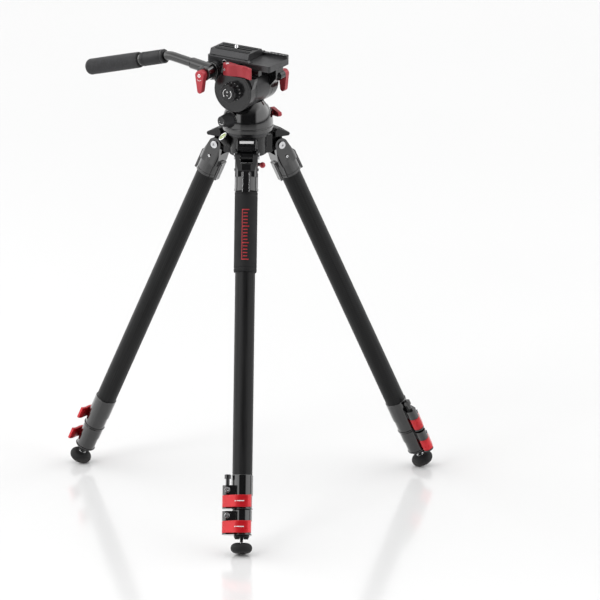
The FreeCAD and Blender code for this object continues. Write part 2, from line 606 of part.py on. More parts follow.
def camera_platform():
    """The platform between the cheeks' tops, with a raised jaw on each side of its dovetail."""
    slab = block(PLATFORM_X, (-PLATFORM_HALF, PLATFORM_HALF), PLATFORM_H)
    slab = softened(slab, 4.0, along(Z))
    far = block(PLATFORM_X, (JAW_IN, PLATFORM_HALF), (PLATFORM_H[1], FAR_JAW_TOP))
    far = softened(far, 3.9, lambda e: along(Z)(e) and e.BoundBox.YMin > 30)
    far = less(far, prism_yz([(33, 141), (36, 141), (36, 131)], (-90, 90)))
    near = block((PLATFORM_X[0], 26), (-PLATFORM_HALF, -JAW_IN), (PLATFORM_H[1], NEAR_JAW_TOP))
    rear_corner = (lambda e: along(Z)(e) and e.BoundBox.YMax < -30 and e.BoundBox.XMin < -50)
    near = softened(near, 3.9, rear_corner)
    ramp = placed(block((0, 30), (-50, 0), (-1, 10)), turn(Y, -35), shift(22, 0, PLATFORM_H[1]))
    near = less(near, prism_yz([(-33, 138), (-36, 138), (-36, 130)], (-90, 90)), ramp)
    body = joined(slab, far, near)
    body = less(body, placed(dovetail(0.35, (-90, 90)), shift(0, 0, -0.3)))
    steps = [block((a, b), (20, 40), (FAR_JAW_TOP - 1.2, 150)) for a, b in ((-16, 2), (16, 28))]
    hollow = block((4, 50), (-PLATFORM_HALF - 1, -29.5), (110, PLATFORM_H[1] - 2.5))
    ax, az = ACCESSORY
    socket = rod(SCREW_R, (ax, -PLATFORM_HALF - 1, az), (ax, -PLATFORM_HALF + 9, az))
    ring = less(
        rod(4.6, (ax, -PLATFORM_HALF - 0.6, az), (ax, -PLATFORM_HALF + 1, az)),
        rod(SCREW_R, (ax, -PLATFORM_HALF - 1, az), (ax, -PLATFORM_HALF + 2, az)),
    )
    belly_z = (PLATFORM_H[0] - 1, PLATFORM_H[1] - 4)
    belly = [block((a, b), (-20, 12), belly_z) for a, b in ((-58, -42), (46, 60))]
    body = less(joined(body, ring), *steps, hollow, socket, *belly)
    holes = [rod(3.4, (x, y, z - 4), (x, y, z + 2)) for x, y, z in SCREWS]
    shafts = [rod(2.0, (x, y, z - 14.5), (x, y, z)) for x, y, z in SCREWS]
    return less(body, *holes, *shafts)


def platform_screws():
    """The four socket screws that fasten the jaws."""
    made = []
    for x, y, z in SCREWS:
        head = softened(rod(3.3, (x, y, z - 4), (x, y, z + 0.3)), 0.4, circle_edges(3.3))
        screw = joined(head, rod(1.95, (x, y, z - 14), (x, y, z - 4)))
        made.append(less(screw, rod(1.9, (x, y, z - 2), (x, y, z + 2))))
    return made


def slide_plate():
    """The quick plate: a dovetail bar with a slot for the camera screw and two long recesses for its pads."""
    low, high = SLIDE_H
    body = dovetail(0.0, SLIDE_X)
    body = softened(body, 1.0, lambda e: along(X)(e) and e.BoundBox.ZMin > high - 1)
    slot = stadium((-48, 6), 0, 3.4, (low - 1, high + 1))
    under = stadium((-48, 6), 0, 7.4, (low - 1, low + 4.6))
    entry = rod(5.2, (-55.5, 0, high - 1.6), (-55.5, 0, high + 1))
    return less(body, slot, under, entry, *pads((high - 1.0, high + 2)))


def stadium(x, y, half, z):
    """A bar along X with round ends, whose centres are at x[0] and x[1]."""
    ends = [rod(half, (at, y, z[0]), (at, y, z[1])) for at in x]
    return joined(block(x, (y - half, y + half), z), *ends)


def pads(z):
    """The shapes of the plate's two rubber pads."""
    x = (SLIDE_X[0] + 10, SLIDE_X[1] - 9)
    return [stadium(x, y, PAD_HALF, z) for y in (-PAD_Y, PAD_Y)]


def camera_screw():
    """The quarter inch screw, its head held in the plate's wider slot."""
    low, high = SLIDE_H
    head = rod(6.6, (SCREW_X, 0, low + 0.4), (SCREW_X, 0, low + 4.4))
    head = softened(head, 0.5, circle_edges(6.6))
    neck = rod(2.5, (SCREW_X, 0, low + 4), (SCREW_X, 0, high + 1.0))
    tip = rod(SCREW_R, (SCREW_X, 0, high + 1.0), (SCREW_X, 0, high + 7.0))
    tip = softened(tip, 0.6, lambda e: circle_edges(SCREW_R)(e) and e.BoundBox.ZMin > high + 5)
    coin_slot = block((SCREW_X - 8, SCREW_X + 8), (-0.8, 0.8), (low, low + 1.8))
    return less(joined(head, neck, tip), coin_slot)


def plate_lever():
    """The red lever that clamps the camera plate, on an upright pin."""
    z = (110.6, 131.2)
    px, py = PLATE_PIN
    hub = rod(8.2, (px, py, z[0]), (px, py, z[1]))
    outer = [(-0.5, -8.2), (11, -7.6), (23, -4.2), (34, -4.0), (45, -7.4), (54, -11.0)]
    inner = [(4, 7.0), (14, 4.0), (23, 1.6), (34, 1.4), (44, -1.6), (55.5, -6.6)]
    outer = [(px + x, py + y) for x, y in outer]
    inner = [(px + x, py + y) for x, y in inner]
    arm = ribbon(outer, inner, z)
    body = softened(joined(hub, arm), 1.2, lambda e: e.Length > 10 and e.BoundBox.ZLength < 0.01)
    body = softened(body, 2.0, lambda e: along(Z)(e) and e.BoundBox.XMin > 39)
    return less(body, rod(LEVER_PIN_R + FIT, (px, py, 100), (px, py, 140)))


def balance_knob():
    """The counterbalance knob: a ring, an eight-lobed grip and a cap, on the end of the axle."""
    at = TILT_H
    ring = cone(18.4, 16.6, (0, -52.4, at), (0, -58, at))
    front_rim = (lambda e: circle_edges(16.6)(e) and e.BoundBox.YMax < -60)
    grip = softened(rod(16.6, (0, -69, at), (0, -58, at)), 1.6, front_rim)
    flutes = []
    for k in range(8):
        lobe = rod(5.4, (0, -72, 20.4), (0, -59.5, 20.4))
        flutes.append(placed(lobe, turn(Y, 22.5 + 45 * k), shift(0, 0, at)))
    cap = softened(rod(13.0, (0, -70.2, at), (0, -68, at)), 0.6, circle_edges(13.0))
    bore = rod(AXLE_END_R + FIT, (0, -62.3, at), (0, -50, at))
    return less(joined(less(grip, *flutes), ring, cap), bore)


def pan_drag_knob():
    """A tapered knob on the bell, with a scale ring behind it and a stem into the housing."""
    ring = softened(rod(14.2, (39, 0, 0), (43, 0, 0)), 0.6, circle_edges(14.2))
    grip = softened(cone(13.4, 9.6, (43, 0, 0), (64, 0, 0)), 1.2, circle_edges(9.6))
    stem = rod(4 - FIT, (27, 0, 0), (40, 0, 0))
    return placed(joined(ring, grip, stem), turn(Z, KNOB_AZ), shift(0, 0, KNOB_H))


def tilt_drag_knob():
    """The wide drag knob on the far end of the axle."""
    ring = softened(rod(17.5, (0, 50.4, TILT_H), (0, 54, TILT_H)), 0.6, circle_edges(17.5))
    grip = cone(16.6, 14.6, (0, 54, TILT_H), (0, 66, TILT_H))
    grip = softened(grip, 1.5, circle_edges(14.6))
    return less(joined(ring, grip), rod(AXLE_END_R + FIT, (0, 40, TILT_H), (0, 60.4, TILT_H)))


def wing(hub_r, tip_r, length, thick, stem_r, stem):
    """A clamping lever on the X axis: its hub from x 0 to thick, its blade down, its stem to x = stem."""
    hub = rod(hub_r, (0, 0, 0), (thick, 0, 0))
    tip = rod(tip_r, (1.5, 0, -length), (thick, 0, -length))
    side = math.sqrt(length ** 2 - (hub_r - tip_r) ** 2) / length
    lean = (hub_r - tip_r) / length
    top, bottom = -hub_r * lean, -length - tip_r * lean
    corners = [(hub_r * side, top), (tip_r * side, bottom), (-tip_r * side, bottom), (-hub_r * side, top)]
    blade = prism_yz(corners, (1.5, thick))
    body = joined(hub, tip, blade)
    body = softened(body, 1.0, lambda e: e.BoundBox.XMin > thick - 0.1)
    return joined(body, rod(stem_r, (stem, 0, 0), (0.5, 0, 0)))


def pan_lock_lever():
    """The wing lever that locks the pan turn, on the bell's far side."""
    lever = wing(7.4, 4.2, 24.0, 9.0, 3.52, -15)
    return placed(lever, turn(X, -90), shift(46.0), turn(Z, LOCK_AZ), shift(0, 0, LOCK_H))


def tilt_lock_lever():
    """The wing lever that locks the tilt, on the far cheek."""
    lever = wing(8.0, 5.0, 28.0, 12.0, 3.52, -9)
    return placed(lever, turn(Z, 90), shift(TILT_LOCK[0], 42.5, TILT_LOCK[1]))


def bar_clamp():
    """The arm that holds the pan bar: a toothed ring on the cheek's boss, a round boss and a socket."""
    rx, rz = ROSETTE
    ring = rod(BOSS_R, (rx, -55, rz), (rx, -51.2, rz))
    ring = softened(ring, 0.8, circle_edges(BOSS_R))
    boss = rod(13.6, (rx, -78, rz), (rx, -54, rz))
    boss = softened(boss, 1.2, lambda e: circle_edges(13.6)(e) and e.BoundBox.YMax < -65)
    bar_z = rz + BAR_LIFT
    socket = rod(10.4, (rx + 6, BAR_Y, bar_z), (rx - 34, BAR_Y, bar_z))
    socket = softened(socket, 1.0, circle_edges(10.4))
    seat = rod(BAR_OD / 2, (rx - 13, BAR_Y, bar_z), (rx - 60, BAR_Y, bar_z))
    return less(joined(ring, boss, socket), seat, rod(4 + FIT, (rx, -85, rz), (rx, -40, rz)))


def bar_wing_lever():
    """The wing lever whose stem runs through the bar's clamp into the cheek."""
    rx, rz = ROSETTE
    lever = wing(9.0, 4.6, 29.0, 13.0, 4.0, -32)
    return placed(lever, turn(Z, -90), shift(rx, -78.4, rz))


def bar_line(a):
    """The point on the drooping part of the pan bar, at a distance past its bend."""
    droop = math.radians(BAR_DROOP)
    x = ROSETTE[0] - BAR_RUN - a * math.cos(droop)
    return Vector(x, BAR_Y, ROSETTE[1] + BAR_LIFT - a * math.sin(droop))


def bar_piece(radius, a, b):
    """A cylinder on the drooping part, between two distances past the bend."""
    return rod(radius, bar_line(a), bar_line(b))


def bar_tube():
    """The bent tube of the pan bar: a straight run, a bend and a long stub inside the extension."""
    radius = 40.0
    cut_back = radius * math.tan(math.radians(BAR_DROOP / 2))
    height = ROSETTE[1] + BAR_LIFT
    start = Vector(ROSETTE[0] - 13.5, BAR_Y, height)
    bend_a = Vector(ROSETTE[0] - BAR_RUN + cut_back, BAR_Y, height)
    bend_b, end = bar_line(cut_back), bar_line(150)
    half = math.radians(BAR_DROOP / 2)
    middle = Vector(bend_a.x - radius * math.sin(half), BAR_Y, height - radius * (1 - math.cos(half)))
    bend = Part.Arc(bend_a, middle, bend_b).toShape()
    path = Part.Wire([Part.makeLine(start, bend_a), bend, Part.makeLine(bend_b, end)])
    walls = []
    for r in (BAR_OD / 2, BAR_OD / 2 - 2):
        ring = Part.Wire([Part.makeCircle(r, start, Vector(-1, 0, 0))])
        walls.append(path.makePipeShell([ring], True, True))
    return less(walls[0], walls[1])


def bar_collar():
    """The twist collar that grips the extension where it leaves the bent tube."""
    shell = softened(bar_piece(13.0, 10, 60), 1.0, circle_edges(13.0))
    return less(shell, bar_piece(BAR_OD / 2 + FIT, 5, 30), bar_piece(EXTENSION_R + FIT, 20, 70))


def bar_extension():
    """The tube that slides over the bent one, closed at its outer end."""
    return less(bar_piece(EXTENSION_R, 20.5, 172), bar_piece(BAR_OD / 2 + FIT, 15, 166))


def bar_grip():
    """The foam sleeve on the extension, rounded at its end."""
    body = bar_piece(14.6, 66, 182)
    body = softened(body, 9.0, lambda e: circle_edges(14.6)(e) and e.BoundBox.XMax < bar_line(170).x)
    body = softened(body, 1.2, lambda e: circle_edges(14.6)(e) and e.BoundBox.XMin > bar_line(75).x)
    return less(body, bar_piece(EXTENSION_R, 60, 172))


def head():
    """Saves the nodes of the fluid head and its pan bar, with the bar raised to its working angle."""
    makers = {
        "head_base_plate": base_plate,
        "pan_housing": pan_housing,
        "tilt_drum": tilt_drum,
        "tilt_axle": tilt_axle,
        "near_cheek": near_cheek,
        "far_cheek": far_cheek,
        "camera_platform": camera_platform,
        "slide_plate": slide_plate,
        "camera_screw": camera_screw,
        "plate_lock_lever": plate_lever,
        "counterbalance_knob": balance_knob,
        "pan_drag_knob": pan_drag_knob,
        "tilt_drag_knob": tilt_drag_knob,
        "pan_lock_lever": pan_lock_lever,
        "tilt_lock_lever": tilt_lock_lever,
        "bar_clamp": bar_clamp,
        "bar_wing_lever": bar_wing_lever,
        "bar_tube": bar_tube,
        "bar_collar": bar_collar,
        "bar_extension": bar_extension,
        "bar_grip": bar_grip,
    }
    raised = turn(Y, BAR_RAISE, Vector(ROSETTE[0], 0, ROSETTE[1]))
    for name, make in makers.items():
        shape = make()
        if name in ("bar_clamp", "bar_tube", "bar_collar", "bar_extension", "bar_grip"):
            shape = placed(shape, raised)
        save(name, on_seat(shape))
    save("platform_screws", *[on_seat(s) for s in platform_screws()])
    high = SLIDE_H[1]
    save("slide_plate_pads", *[on_seat(pad) for pad in pads((high - 1.0, high + 0.8))])


def hub():
    """Saves the nodes of the hub that the legs hang from."""
    save("hub_casting", hub_casting())
    save("hub_bubble_level", bubble_level())
    save("top_plate", top_plate())
    save("head_stud", head_stud())
    save("leg_pivot_bolts", *pivot_bolts())
    save("platform_lock_lever", platform_lock_lever())


def main():
    """Writes one STEP file for every node."""
    os.makedirs("parts", exist_ok=True)
    hub()
    legs()
    head()
    print("seat height", round(SEAT_Z, 2), "hinge pin height", round(PIVOT_Z, 2))


if __name__ == "__main__":
    main()
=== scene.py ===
import json
import math

import bmesh
import bpy
from mathutils import Matrix, Vector


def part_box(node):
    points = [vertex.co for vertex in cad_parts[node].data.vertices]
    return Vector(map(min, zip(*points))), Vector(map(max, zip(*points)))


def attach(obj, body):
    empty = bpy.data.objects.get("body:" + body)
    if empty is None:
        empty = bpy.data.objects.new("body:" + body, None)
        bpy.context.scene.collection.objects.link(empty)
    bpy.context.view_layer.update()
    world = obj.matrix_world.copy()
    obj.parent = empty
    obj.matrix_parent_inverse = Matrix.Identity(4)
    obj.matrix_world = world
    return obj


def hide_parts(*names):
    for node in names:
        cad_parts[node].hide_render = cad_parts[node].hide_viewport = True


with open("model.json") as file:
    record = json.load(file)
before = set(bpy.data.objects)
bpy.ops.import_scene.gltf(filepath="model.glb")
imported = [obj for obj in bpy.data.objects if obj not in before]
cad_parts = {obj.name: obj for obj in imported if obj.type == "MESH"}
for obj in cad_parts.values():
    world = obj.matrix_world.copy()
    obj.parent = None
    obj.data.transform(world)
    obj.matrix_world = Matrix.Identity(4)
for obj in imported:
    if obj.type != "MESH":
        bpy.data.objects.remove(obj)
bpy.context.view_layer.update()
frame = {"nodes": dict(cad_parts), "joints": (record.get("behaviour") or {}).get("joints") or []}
MM = 0.001
JOINTS = {j["name"]: j for j in frame["joints"]}
NODES = frame["nodes"]
LEGS = (1, 2, 3)


# ---------------------------------------------------------------- frames taken from the CAD
def axis_frame(origin, axis, up=(0, 0, 1)):
    """A frame whose Z runs along axis and whose X leans towards up."""
    z = Vector(axis).normalized()
    x = Vector(up) - z * z.dot(Vector(up))
    if x.length < 1e-6:
        x = Vector((1, 0, 0)) - z * z.x
    x.normalize()
    y = z.cross(x)
    made = Matrix((x, y, z)).transposed().to_4x4()
    made.translation = Vector(origin)
    return made


def joint_point(name):
    """Where a joint sits, in metres."""
    return Vector(JOINTS[name]["pos_m"])


def joint_axis(name):
    """The line a joint turns about or slides along."""
    return Vector(JOINTS[name]["axis"])


def leg_frame(number):
    """A leg's own frame: origin on its hinge pin, Z up the leg, Y along the pin."""
    z = -joint_axis(f"leg_{number}_foot_turn")
    y = -joint_axis(f"leg_{number}_spread")
    made = Matrix((y.cross(z), y, z)).transposed().to_4x4()
    made.translation = joint_point(f"leg_{number}_spread")
    return made


def hub_arm_frame(number):
    """Level frame on a leg's hinge pin: X outwards, Y along the pin, Z up."""
    y = -joint_axis(f"leg_{number}_spread")
    made = Matrix((y.cross(Vector((0, 0, 1))), y, Vector((0, 0, 1)))).transposed().to_4x4()
    made.translation = joint_point(f"leg_{number}_spread")
    return made


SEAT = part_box("head_base_plate")[0].z
TILT = joint_point("tilt")
TILT_Z = TILT.z


# ---------------------------------------------------------------- node materials
class Nodes:
    """The nodes of one shader tree, made and linked by short calls."""

    def __init__(self, tree):
        self.tree = tree

    def node(self, kind, inputs=(), **settings):
        """Adds a node; each input is a value, or an output to link."""
        made = self.tree.nodes.new("ShaderNode" + kind)
        for key, value in settings.items():
            setattr(made, key, value)
        for socket, value in dict(inputs).items():
            self.feed(made.inputs[socket], value)
        return made

    def feed(self, socket, value):
        """Links value to the socket if it is an output, and sets it there if not."""
        if isinstance(value, bpy.types.NodeSocket):
            self.tree.links.new(value, socket)
        else:
            socket.default_value = value

    def math(self, operation, a, b=0.0, c=0.0):
        """The result of an operation on up to three values."""
        return self.node("Math", {0: a, 1: b, 2: c}, operation=operation).outputs[0]

    def span(self, value, low, high, start=0.0, end=1.0):
        """value, from start to end, read as low to high."""
        sockets = {"Value": value, "From Min": start, "From Max": end, "To Min": low, "To Max": high}
        return self.node("MapRange", sockets).outputs[0]


class Shader(Nodes):
    """A material being made: textures read in a frame, and the surface's sockets."""

    def __init__(self, name):
        self.material = bpy.data.materials.new(name)
        self.material.use_nodes = True
        super().__init__(self.material.node_tree)
        self.surface = next(n for n in self.tree.nodes if n.type == "BSDF_PRINCIPLED")

    def set(self, **sockets):
        """Sets or links the surface's sockets, named with _ for each space."""
        for name, value in sockets.items():
            self.feed(self.surface.inputs[name.replace("_", " ")], value)
        return self

    def place(self, at=None, scale=(1, 1, 1)):
        """Object coordinates, in the frame at if it is given, stretched by scale."""
        out = self.node("TexCoord").outputs["Object"]
        if at is not None:
            shift, turn = at.to_translation(), at.to_euler()
            sockets = {"Vector": out, "Location": shift, "Rotation": turn}
            out = self.node("Mapping", sockets, vector_type="TEXTURE").outputs[0]
        if tuple(scale) != (1, 1, 1):
            out = self.node("Mapping", {"Vector": out, "Scale": scale}, vector_type="POINT").outputs[0]
        return out

    def noise(self, where, scale, detail=3.0, rough=0.5):
        """Fractal noise; scale is in features per metre."""
        sockets = {"Vector": where, "Scale": scale, "Detail": detail, "Roughness": rough}
        return self.node("TexNoise", sockets).outputs["Fac"]

    def ramp(self, value, *stops):
        """A colour from stops of (position, colour)."""
        made = self.node("ValToRGB", {"Fac": value})
        while len(made.color_ramp.elements) < len(stops):
            made.color_ramp.elements.new(0.5)
        for element, (at, colour) in zip(made.color_ramp.elements, stops):
            element.position, element.color = at, (*colour, 1.0)
        return made.outputs["Color"]

    def mix(self, factor, a, b):
        """Colour a where factor is 0, and b where it is 1."""
        made = self.node("Mix", data_type="RGBA")
        self.feed(made.inputs["Factor"], factor)
        for socket, value in ((made.inputs[6], a), (made.inputs[7], b)):
            self.feed(socket, (*value, 1.0) if isinstance(value, tuple) and len(value) == 3 else value)
        return made.outputs[2]

    def relief(self, *layers, edge=0.35 * MM):
        """Bump layers of (height in metres at full white, value), over a shader-rounded edge."""
        normal = self.node("Bevel", {"Radius": edge}, samples=4).outputs[0]
        for depth, value in layers:
            sockets = {"Height": value, "Distance": depth, "Strength": 1.0, "Normal": normal}
            normal = self.node("Bump", sockets).outputs[0]
        self.feed(self.surface.inputs["Normal"], normal)
        return self


def painted(name, dark, light, rough, coat=0.0, specular=0.35, peel=0.02 * MM, grain=420.0,
            metallic=0.0):
    """Paint or anodising: a slow change of shade, handling marks in the gloss, and a fine skin."""
    s = Shader(name)
    where = s.place()
    cloud = s.noise(where, 26.0, 4.0)
    smear = s.noise(s.place(scale=(1.0, 1.0, 0.25)), 70.0, 5.0, 0.65)
    colour = s.ramp(cloud, (0.3, dark), (0.7, light))
    s.set(Base_Color=colour, Roughness=s.span(smear, rough[0], rough[1], 0.3, 0.7), Metallic=metallic)
    s.set(Specular_IOR_Level=specular)
    s.set(Coat_Weight=coat)
    s.set(Coat_Roughness=0.06)
    return s.relief((peel, s.noise(where, grain, 2.0)))


def brushed(name, dark, light, rough, at, stretch, metallic=0.85, depth=0.012 * MM, specular=0.5):
    """Metal with fine lines; stretch is the scale on each axis of the frame, small along the lines."""
    s = Shader(name)
    lines = s.noise(s.place(at, stretch), 1.0, 5.0, 0.62)
    cloud = s.noise(s.place(), 34.0, 3.0)
    shade = s.math("ADD", s.math("MULTIPLY", lines, 0.65), s.math("MULTIPLY", cloud, 0.35))
    s.set(Base_Color=s.ramp(shade, (0.35, dark), (0.65, light)), Metallic=metallic)
    s.set(Roughness=s.span(lines, rough[0], rough[1], 0.3, 0.7))
    s.set(Specular_IOR_Level=specular)
    return s.relief((depth, lines))


def carbon(name, at, radius, plain_below=None):
    """A two-by-two twill of carbon tows round the frame's Z axis, in resin, the warp tows painted lighter
    than the weft as a painted sheen; bare below a height.
    """
    s = Shader(name)
    split = s.node("SeparateXYZ", {"Vector": s.place(at)})
    x, y, z = split.outputs
    tow = 1.3 * MM
    across = s.math("MULTIPLY", s.math("ARCTAN2", y, x), radius / tow)
    along = s.math("MULTIPLY", z, 1.0 / tow)
    step = s.math("FLOORED_MODULO", s.math("ADD", s.math("FLOOR", across), s.math("FLOOR", along)), 4.0)
    warp_up = s.math("LESS_THAN", step, 1.5)
    rise_warp = s.math("ABSOLUTE", s.math("SINE", s.math("MULTIPLY", across, math.pi)))
    rise_weft = s.math("ABSOLUTE", s.math("SINE", s.math("MULTIPLY", along, math.pi)))
    crown = s.node("Mix", {"Factor": warp_up, 2: rise_weft, 3: rise_warp}, data_type="FLOAT").outputs[0]
    fibres_along = s.noise(s.place(at, (2600, 2600, 60)), 1.0, 3.0, 0.6)
    fibres_across = s.noise(s.place(at, (150, 150, 2600)), 1.0, 3.0, 0.6)
    fibres = s.node("Mix", {"Factor": warp_up, 2: fibres_across, 3: fibres_along}, data_type="FLOAT")
    fibres = fibres.outputs[0]
    streak = s.noise(s.place(at, (420, 420, 7)), 1.0, 4.0, 0.6)
    lift = s.math("ADD", s.math("MULTIPLY", fibres, 0.35), s.math("MULTIPLY", streak, 0.65))
    # Painted sheen: the tows that run along the tube are painted lighter than those that run round it,
    # standing in for the way the two directions catch the light; the fibres and streaks within each are
    # the carbon's own tone.
    dark = s.ramp(lift, (0.36, (0.002, 0.002, 0.0022)), (0.64, (0.012, 0.012, 0.0125)))
    light = s.ramp(lift, (0.36, (0.003, 0.003, 0.0033)), (0.64, (0.017, 0.017, 0.0175)))
    colour = s.mix(warp_up, dark, light)
    rough = s.span(streak, 0.34, 0.52, 0.3, 0.7)
    height = crown
    if plain_below is not None:
        bare = s.math("LESS_THAN", z, plain_below)
        colour = s.mix(bare, colour, (0.01, 0.01, 0.011))
        height = s.math("MULTIPLY", height, s.math("SUBTRACT", 1.0, bare))
    s.set(Base_Color=colour, Roughness=rough)
    s.set(Specular_IOR_Level=0.16)
    s.set(Coat_Weight=0.05)
    s.set(Coat_Roughness=0.3)
    return s.relief((0.015 * MM, height), (0.008 * MM, fibres))


def rubber(name, dark, light, pebble=900.0, depth=0.05 * MM, dusty_below=None):
    """Moulded rubber with a fine pebble; dust gathers below a height."""
    s = Shader(name)
    where = s.place()
    cells = s.node("TexVoronoi", {"Vector": where, "Scale": pebble}, feature="SMOOTH_F1")
    cloud = s.noise(where, 55.0, 4.0)
    colour = s.ramp(cloud, (0.3, dark), (0.7, light))
    if dusty_below is not None:
        height = s.node("SeparateXYZ", {"Vector": where}).outputs["Z"]
        settled = s.span(height, 0.5, 0.0, 0.0, dusty_below)
        dust = s.math("MULTIPLY", settled, s.noise(where, 160.0, 6.0, 0.7))
        colour = s.mix(dust, colour, (0.16, 0.15, 0.14))
    s.set(Base_Color=colour, Roughness=s.span(cloud, 0.62, 0.82, 0.3, 0.7))
    s.set(Specular_IOR_Level=0.3)
    return s.relief((depth, cells.outputs["Distance"]), (0.03 * MM, s.noise(where, 2400.0, 2.0)))


def foam(name):
    """Closed-cell foam: pits of two sizes in a soft, dull skin, with painted shade darkening the colour in
    the pits.
    """
    s = Shader(name)
    where = s.place()
    coarse = s.node("TexVoronoi", {"Vector": where, "Scale": 620.0}, feature="F1").outputs["Distance"]
    fine = s.node("TexVoronoi", {"Vector": where, "Scale": 1500.0}, feature="F1").outputs["Distance"]
    cloud = s.noise(where, 45.0, 4.0, 0.6)
    pits = s.math("ADD", s.math("MULTIPLY", coarse, 0.6), s.math("MULTIPLY", fine, 0.4))
    # Painted shade: the colour darkens towards the middle of each pit, over a random cloud of tone.
    shade = s.math("ADD", s.math("MULTIPLY", pits, 0.6), s.math("MULTIPLY", cloud, 0.5))
    s.set(Base_Color=s.ramp(shade, (0.3, (0.018, 0.018, 0.019)), (0.75, (0.048, 0.048, 0.05))))
    s.set(Roughness=s.span(cloud, 0.78, 0.92, 0.3, 0.7))
    s.set(Specular_IOR_Level=0.25)
    s.set(Sheen_Weight=0.12)
    s.set(Sheen_Roughness=0.5)
    return s.relief((0.12 * MM, pits), edge=0.2 * MM)


def printed(name, colour):
    """Ink, slightly uneven in cover."""
    s = Shader(name)
    cover = s.noise(s.place(), 700.0, 3.0)
    worn = tuple(0.82 * c for c in colour)
    s.set(Base_Color=s.ramp(cover, (0.25, worn), (0.6, colour)), Roughness=s.span(cover, 0.42, 0.58))
    return s.relief((0.01 * MM, cover), edge=0.05 * MM)


def level_fluid(name, at):
    """The vial seen from above: green fluid with its bubble, and one dark ring."""
    s = Shader(name)
    x, y, _ = s.node("SeparateXYZ", {"Vector": s.place(at)}).outputs

    def distance(cx, cy):
        """How far the point is from (cx, cy) on the vial's face."""
        dx, dy = s.math("SUBTRACT", x, cx), s.math("SUBTRACT", y, cy)
        return s.math("SQRT", s.math("ADD", s.math("MULTIPLY", dx, dx), s.math("MULTIPLY", dy, dy)))

    middle = distance(0.0, 0.0)
    ring = s.math("LESS_THAN", s.math("ABSOLUTE", s.math("SUBTRACT", middle, 3.1 * MM)), 0.28 * MM)
    bubble = s.math("LESS_THAN", distance(0.7 * MM, 0.5 * MM), 2.2 * MM)
    tint = s.ramp(s.noise(s.place(), 300.0), (0.3, (0.36, 0.5, 0.1)), (0.7, (0.5, 0.62, 0.18)))
    colour = s.mix(bubble, tint, (0.78, 0.86, 0.55))
    s.set(Base_Color=s.mix(ring, colour, (0.02, 0.03, 0.02)))
    s.set(Roughness=s.span(s.noise(s.place(), 90.0), 0.04, 0.09))
    s.set(Coat_Weight=1.0)
    s.set(Coat_Roughness=0.02)
    return s.relief((0.01 * MM, s.noise(s.place(), 60.0)))


def identity():
    """The row frame itself."""
    return Matrix.Identity(4)


gloss_black = painted("gloss_black", (0.002, 0.002, 0.0023), (0.004, 0.004, 0.0045), (0.06, 0.12),
                      coat=0.7, specular=0.5, peel=0.008 * MM).material
cast_black = painted("cast_black", (0.003, 0.003, 0.0035), (0.007, 0.007, 0.0075), (0.2, 0.34),
                     coat=0.1, specular=0.3, peel=0.035 * MM, grain=900.0).material
satin_black = painted("satin_black", (0.036, 0.036, 0.038), (0.052, 0.052, 0.054), (0.34, 0.46),
                      specular=0.45, peel=0.02 * MM, grain=1800.0, metallic=0.5).material
knob_black = painted("knob_black", (0.006, 0.006, 0.0065), (0.012, 0.012, 0.013), (0.22, 0.36),
                     grain=700.0).material
knurl_black = painted("knurl_black", (0.012, 0.012, 0.013), (0.024, 0.024, 0.026), (0.34, 0.5),
                      grain=1500.0, metallic=0.2).material
bright_red = painted("bright_red", (0.46, 0.006, 0.012), (0.60, 0.010, 0.018), (0.24, 0.36),
                     coat=0.15, specular=0.4, peel=0.012 * MM, grain=1600.0, metallic=0.25).material
dusty_red = painted("dusty_red", (0.33, 0.026, 0.036), (0.43, 0.042, 0.054), (0.3, 0.42),
                    specular=0.5, peel=0.012 * MM, grain=1500.0, metallic=0.3).material
drum_black = brushed("drum_black", (0.010, 0.010, 0.011), (0.034, 0.034, 0.036), (0.26, 0.42),
                     axis_frame(TILT, (0, 1, 0)), (6, 6, 900), metallic=0.55).material
cheek_black = brushed("cheek_black", (0.006, 0.006, 0.0065), (0.015, 0.015, 0.016), (0.12, 0.22),
                      identity(), (12, 500, 700), metallic=0.2, depth=0.003 * MM).material
bare_steel = brushed("bare_steel", (0.42, 0.42, 0.43), (0.66, 0.66, 0.67), (0.14, 0.3),
                     identity(), (500, 500, 40), metallic=1.0, depth=0.006 * MM).material
chrome = painted("chrome", (0.72, 0.72, 0.73), (0.82, 0.82, 0.83), (0.05, 0.14),
                 specular=0.5, peel=0.004 * MM, grain=300.0, metallic=1.0).material
black_screw = brushed("black_screw", (0.008, 0.008, 0.009), (0.022, 0.022, 0.024), (0.28, 0.44),
                      identity(), (700, 700, 60), metallic=0.7).material
plain_rubber = rubber("plain_rubber", (0.005, 0.005, 0.0055), (0.011, 0.011, 0.012)).material
foot_rubber = rubber("foot_rubber", (0.007, 0.007, 0.0075), (0.015, 0.015, 0.016),
                     pebble=420.0, depth=0.08 * MM, dusty_below=14 * MM).material
foam_skin = foam("foam_skin").material
white_ink = printed("white_ink", (0.8, 0.8, 0.8)).material
red_ink = printed("red_ink", (0.42, 0.012, 0.018)).material
label_stock = painted("label_stock", (0.6, 0.6, 0.6), (0.74, 0.74, 0.74), (0.34, 0.5),
                      grain=1200.0).material


# ---------------------------------------------------------------- mesh tools, in millimetres
def add_piece(name, bm, at, body, material, sharp=35):
    """Turns a bmesh in millimetres into an object in the row frame that rides on a body."""
    bmesh.ops.recalc_face_normals(bm, faces=bm.faces)
    mesh = bpy.data.meshes.new(name)
    bm.to_mesh(mesh)
    bm.free()
    mesh.transform(at @ Matrix.Scale(MM, 4))
    if at.determinant() < 0:
        mesh.flip_normals()
    mesh.polygons.foreach_set("use_smooth", [True] * len(mesh.polygons))
    mesh.set_sharp_from_angle(angle=math.radians(sharp))
    mesh.materials.append(material)
    obj = bpy.data.objects.new(name, mesh)
    bpy.context.scene.collection.objects.link(obj)
    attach(obj, body)
    return obj


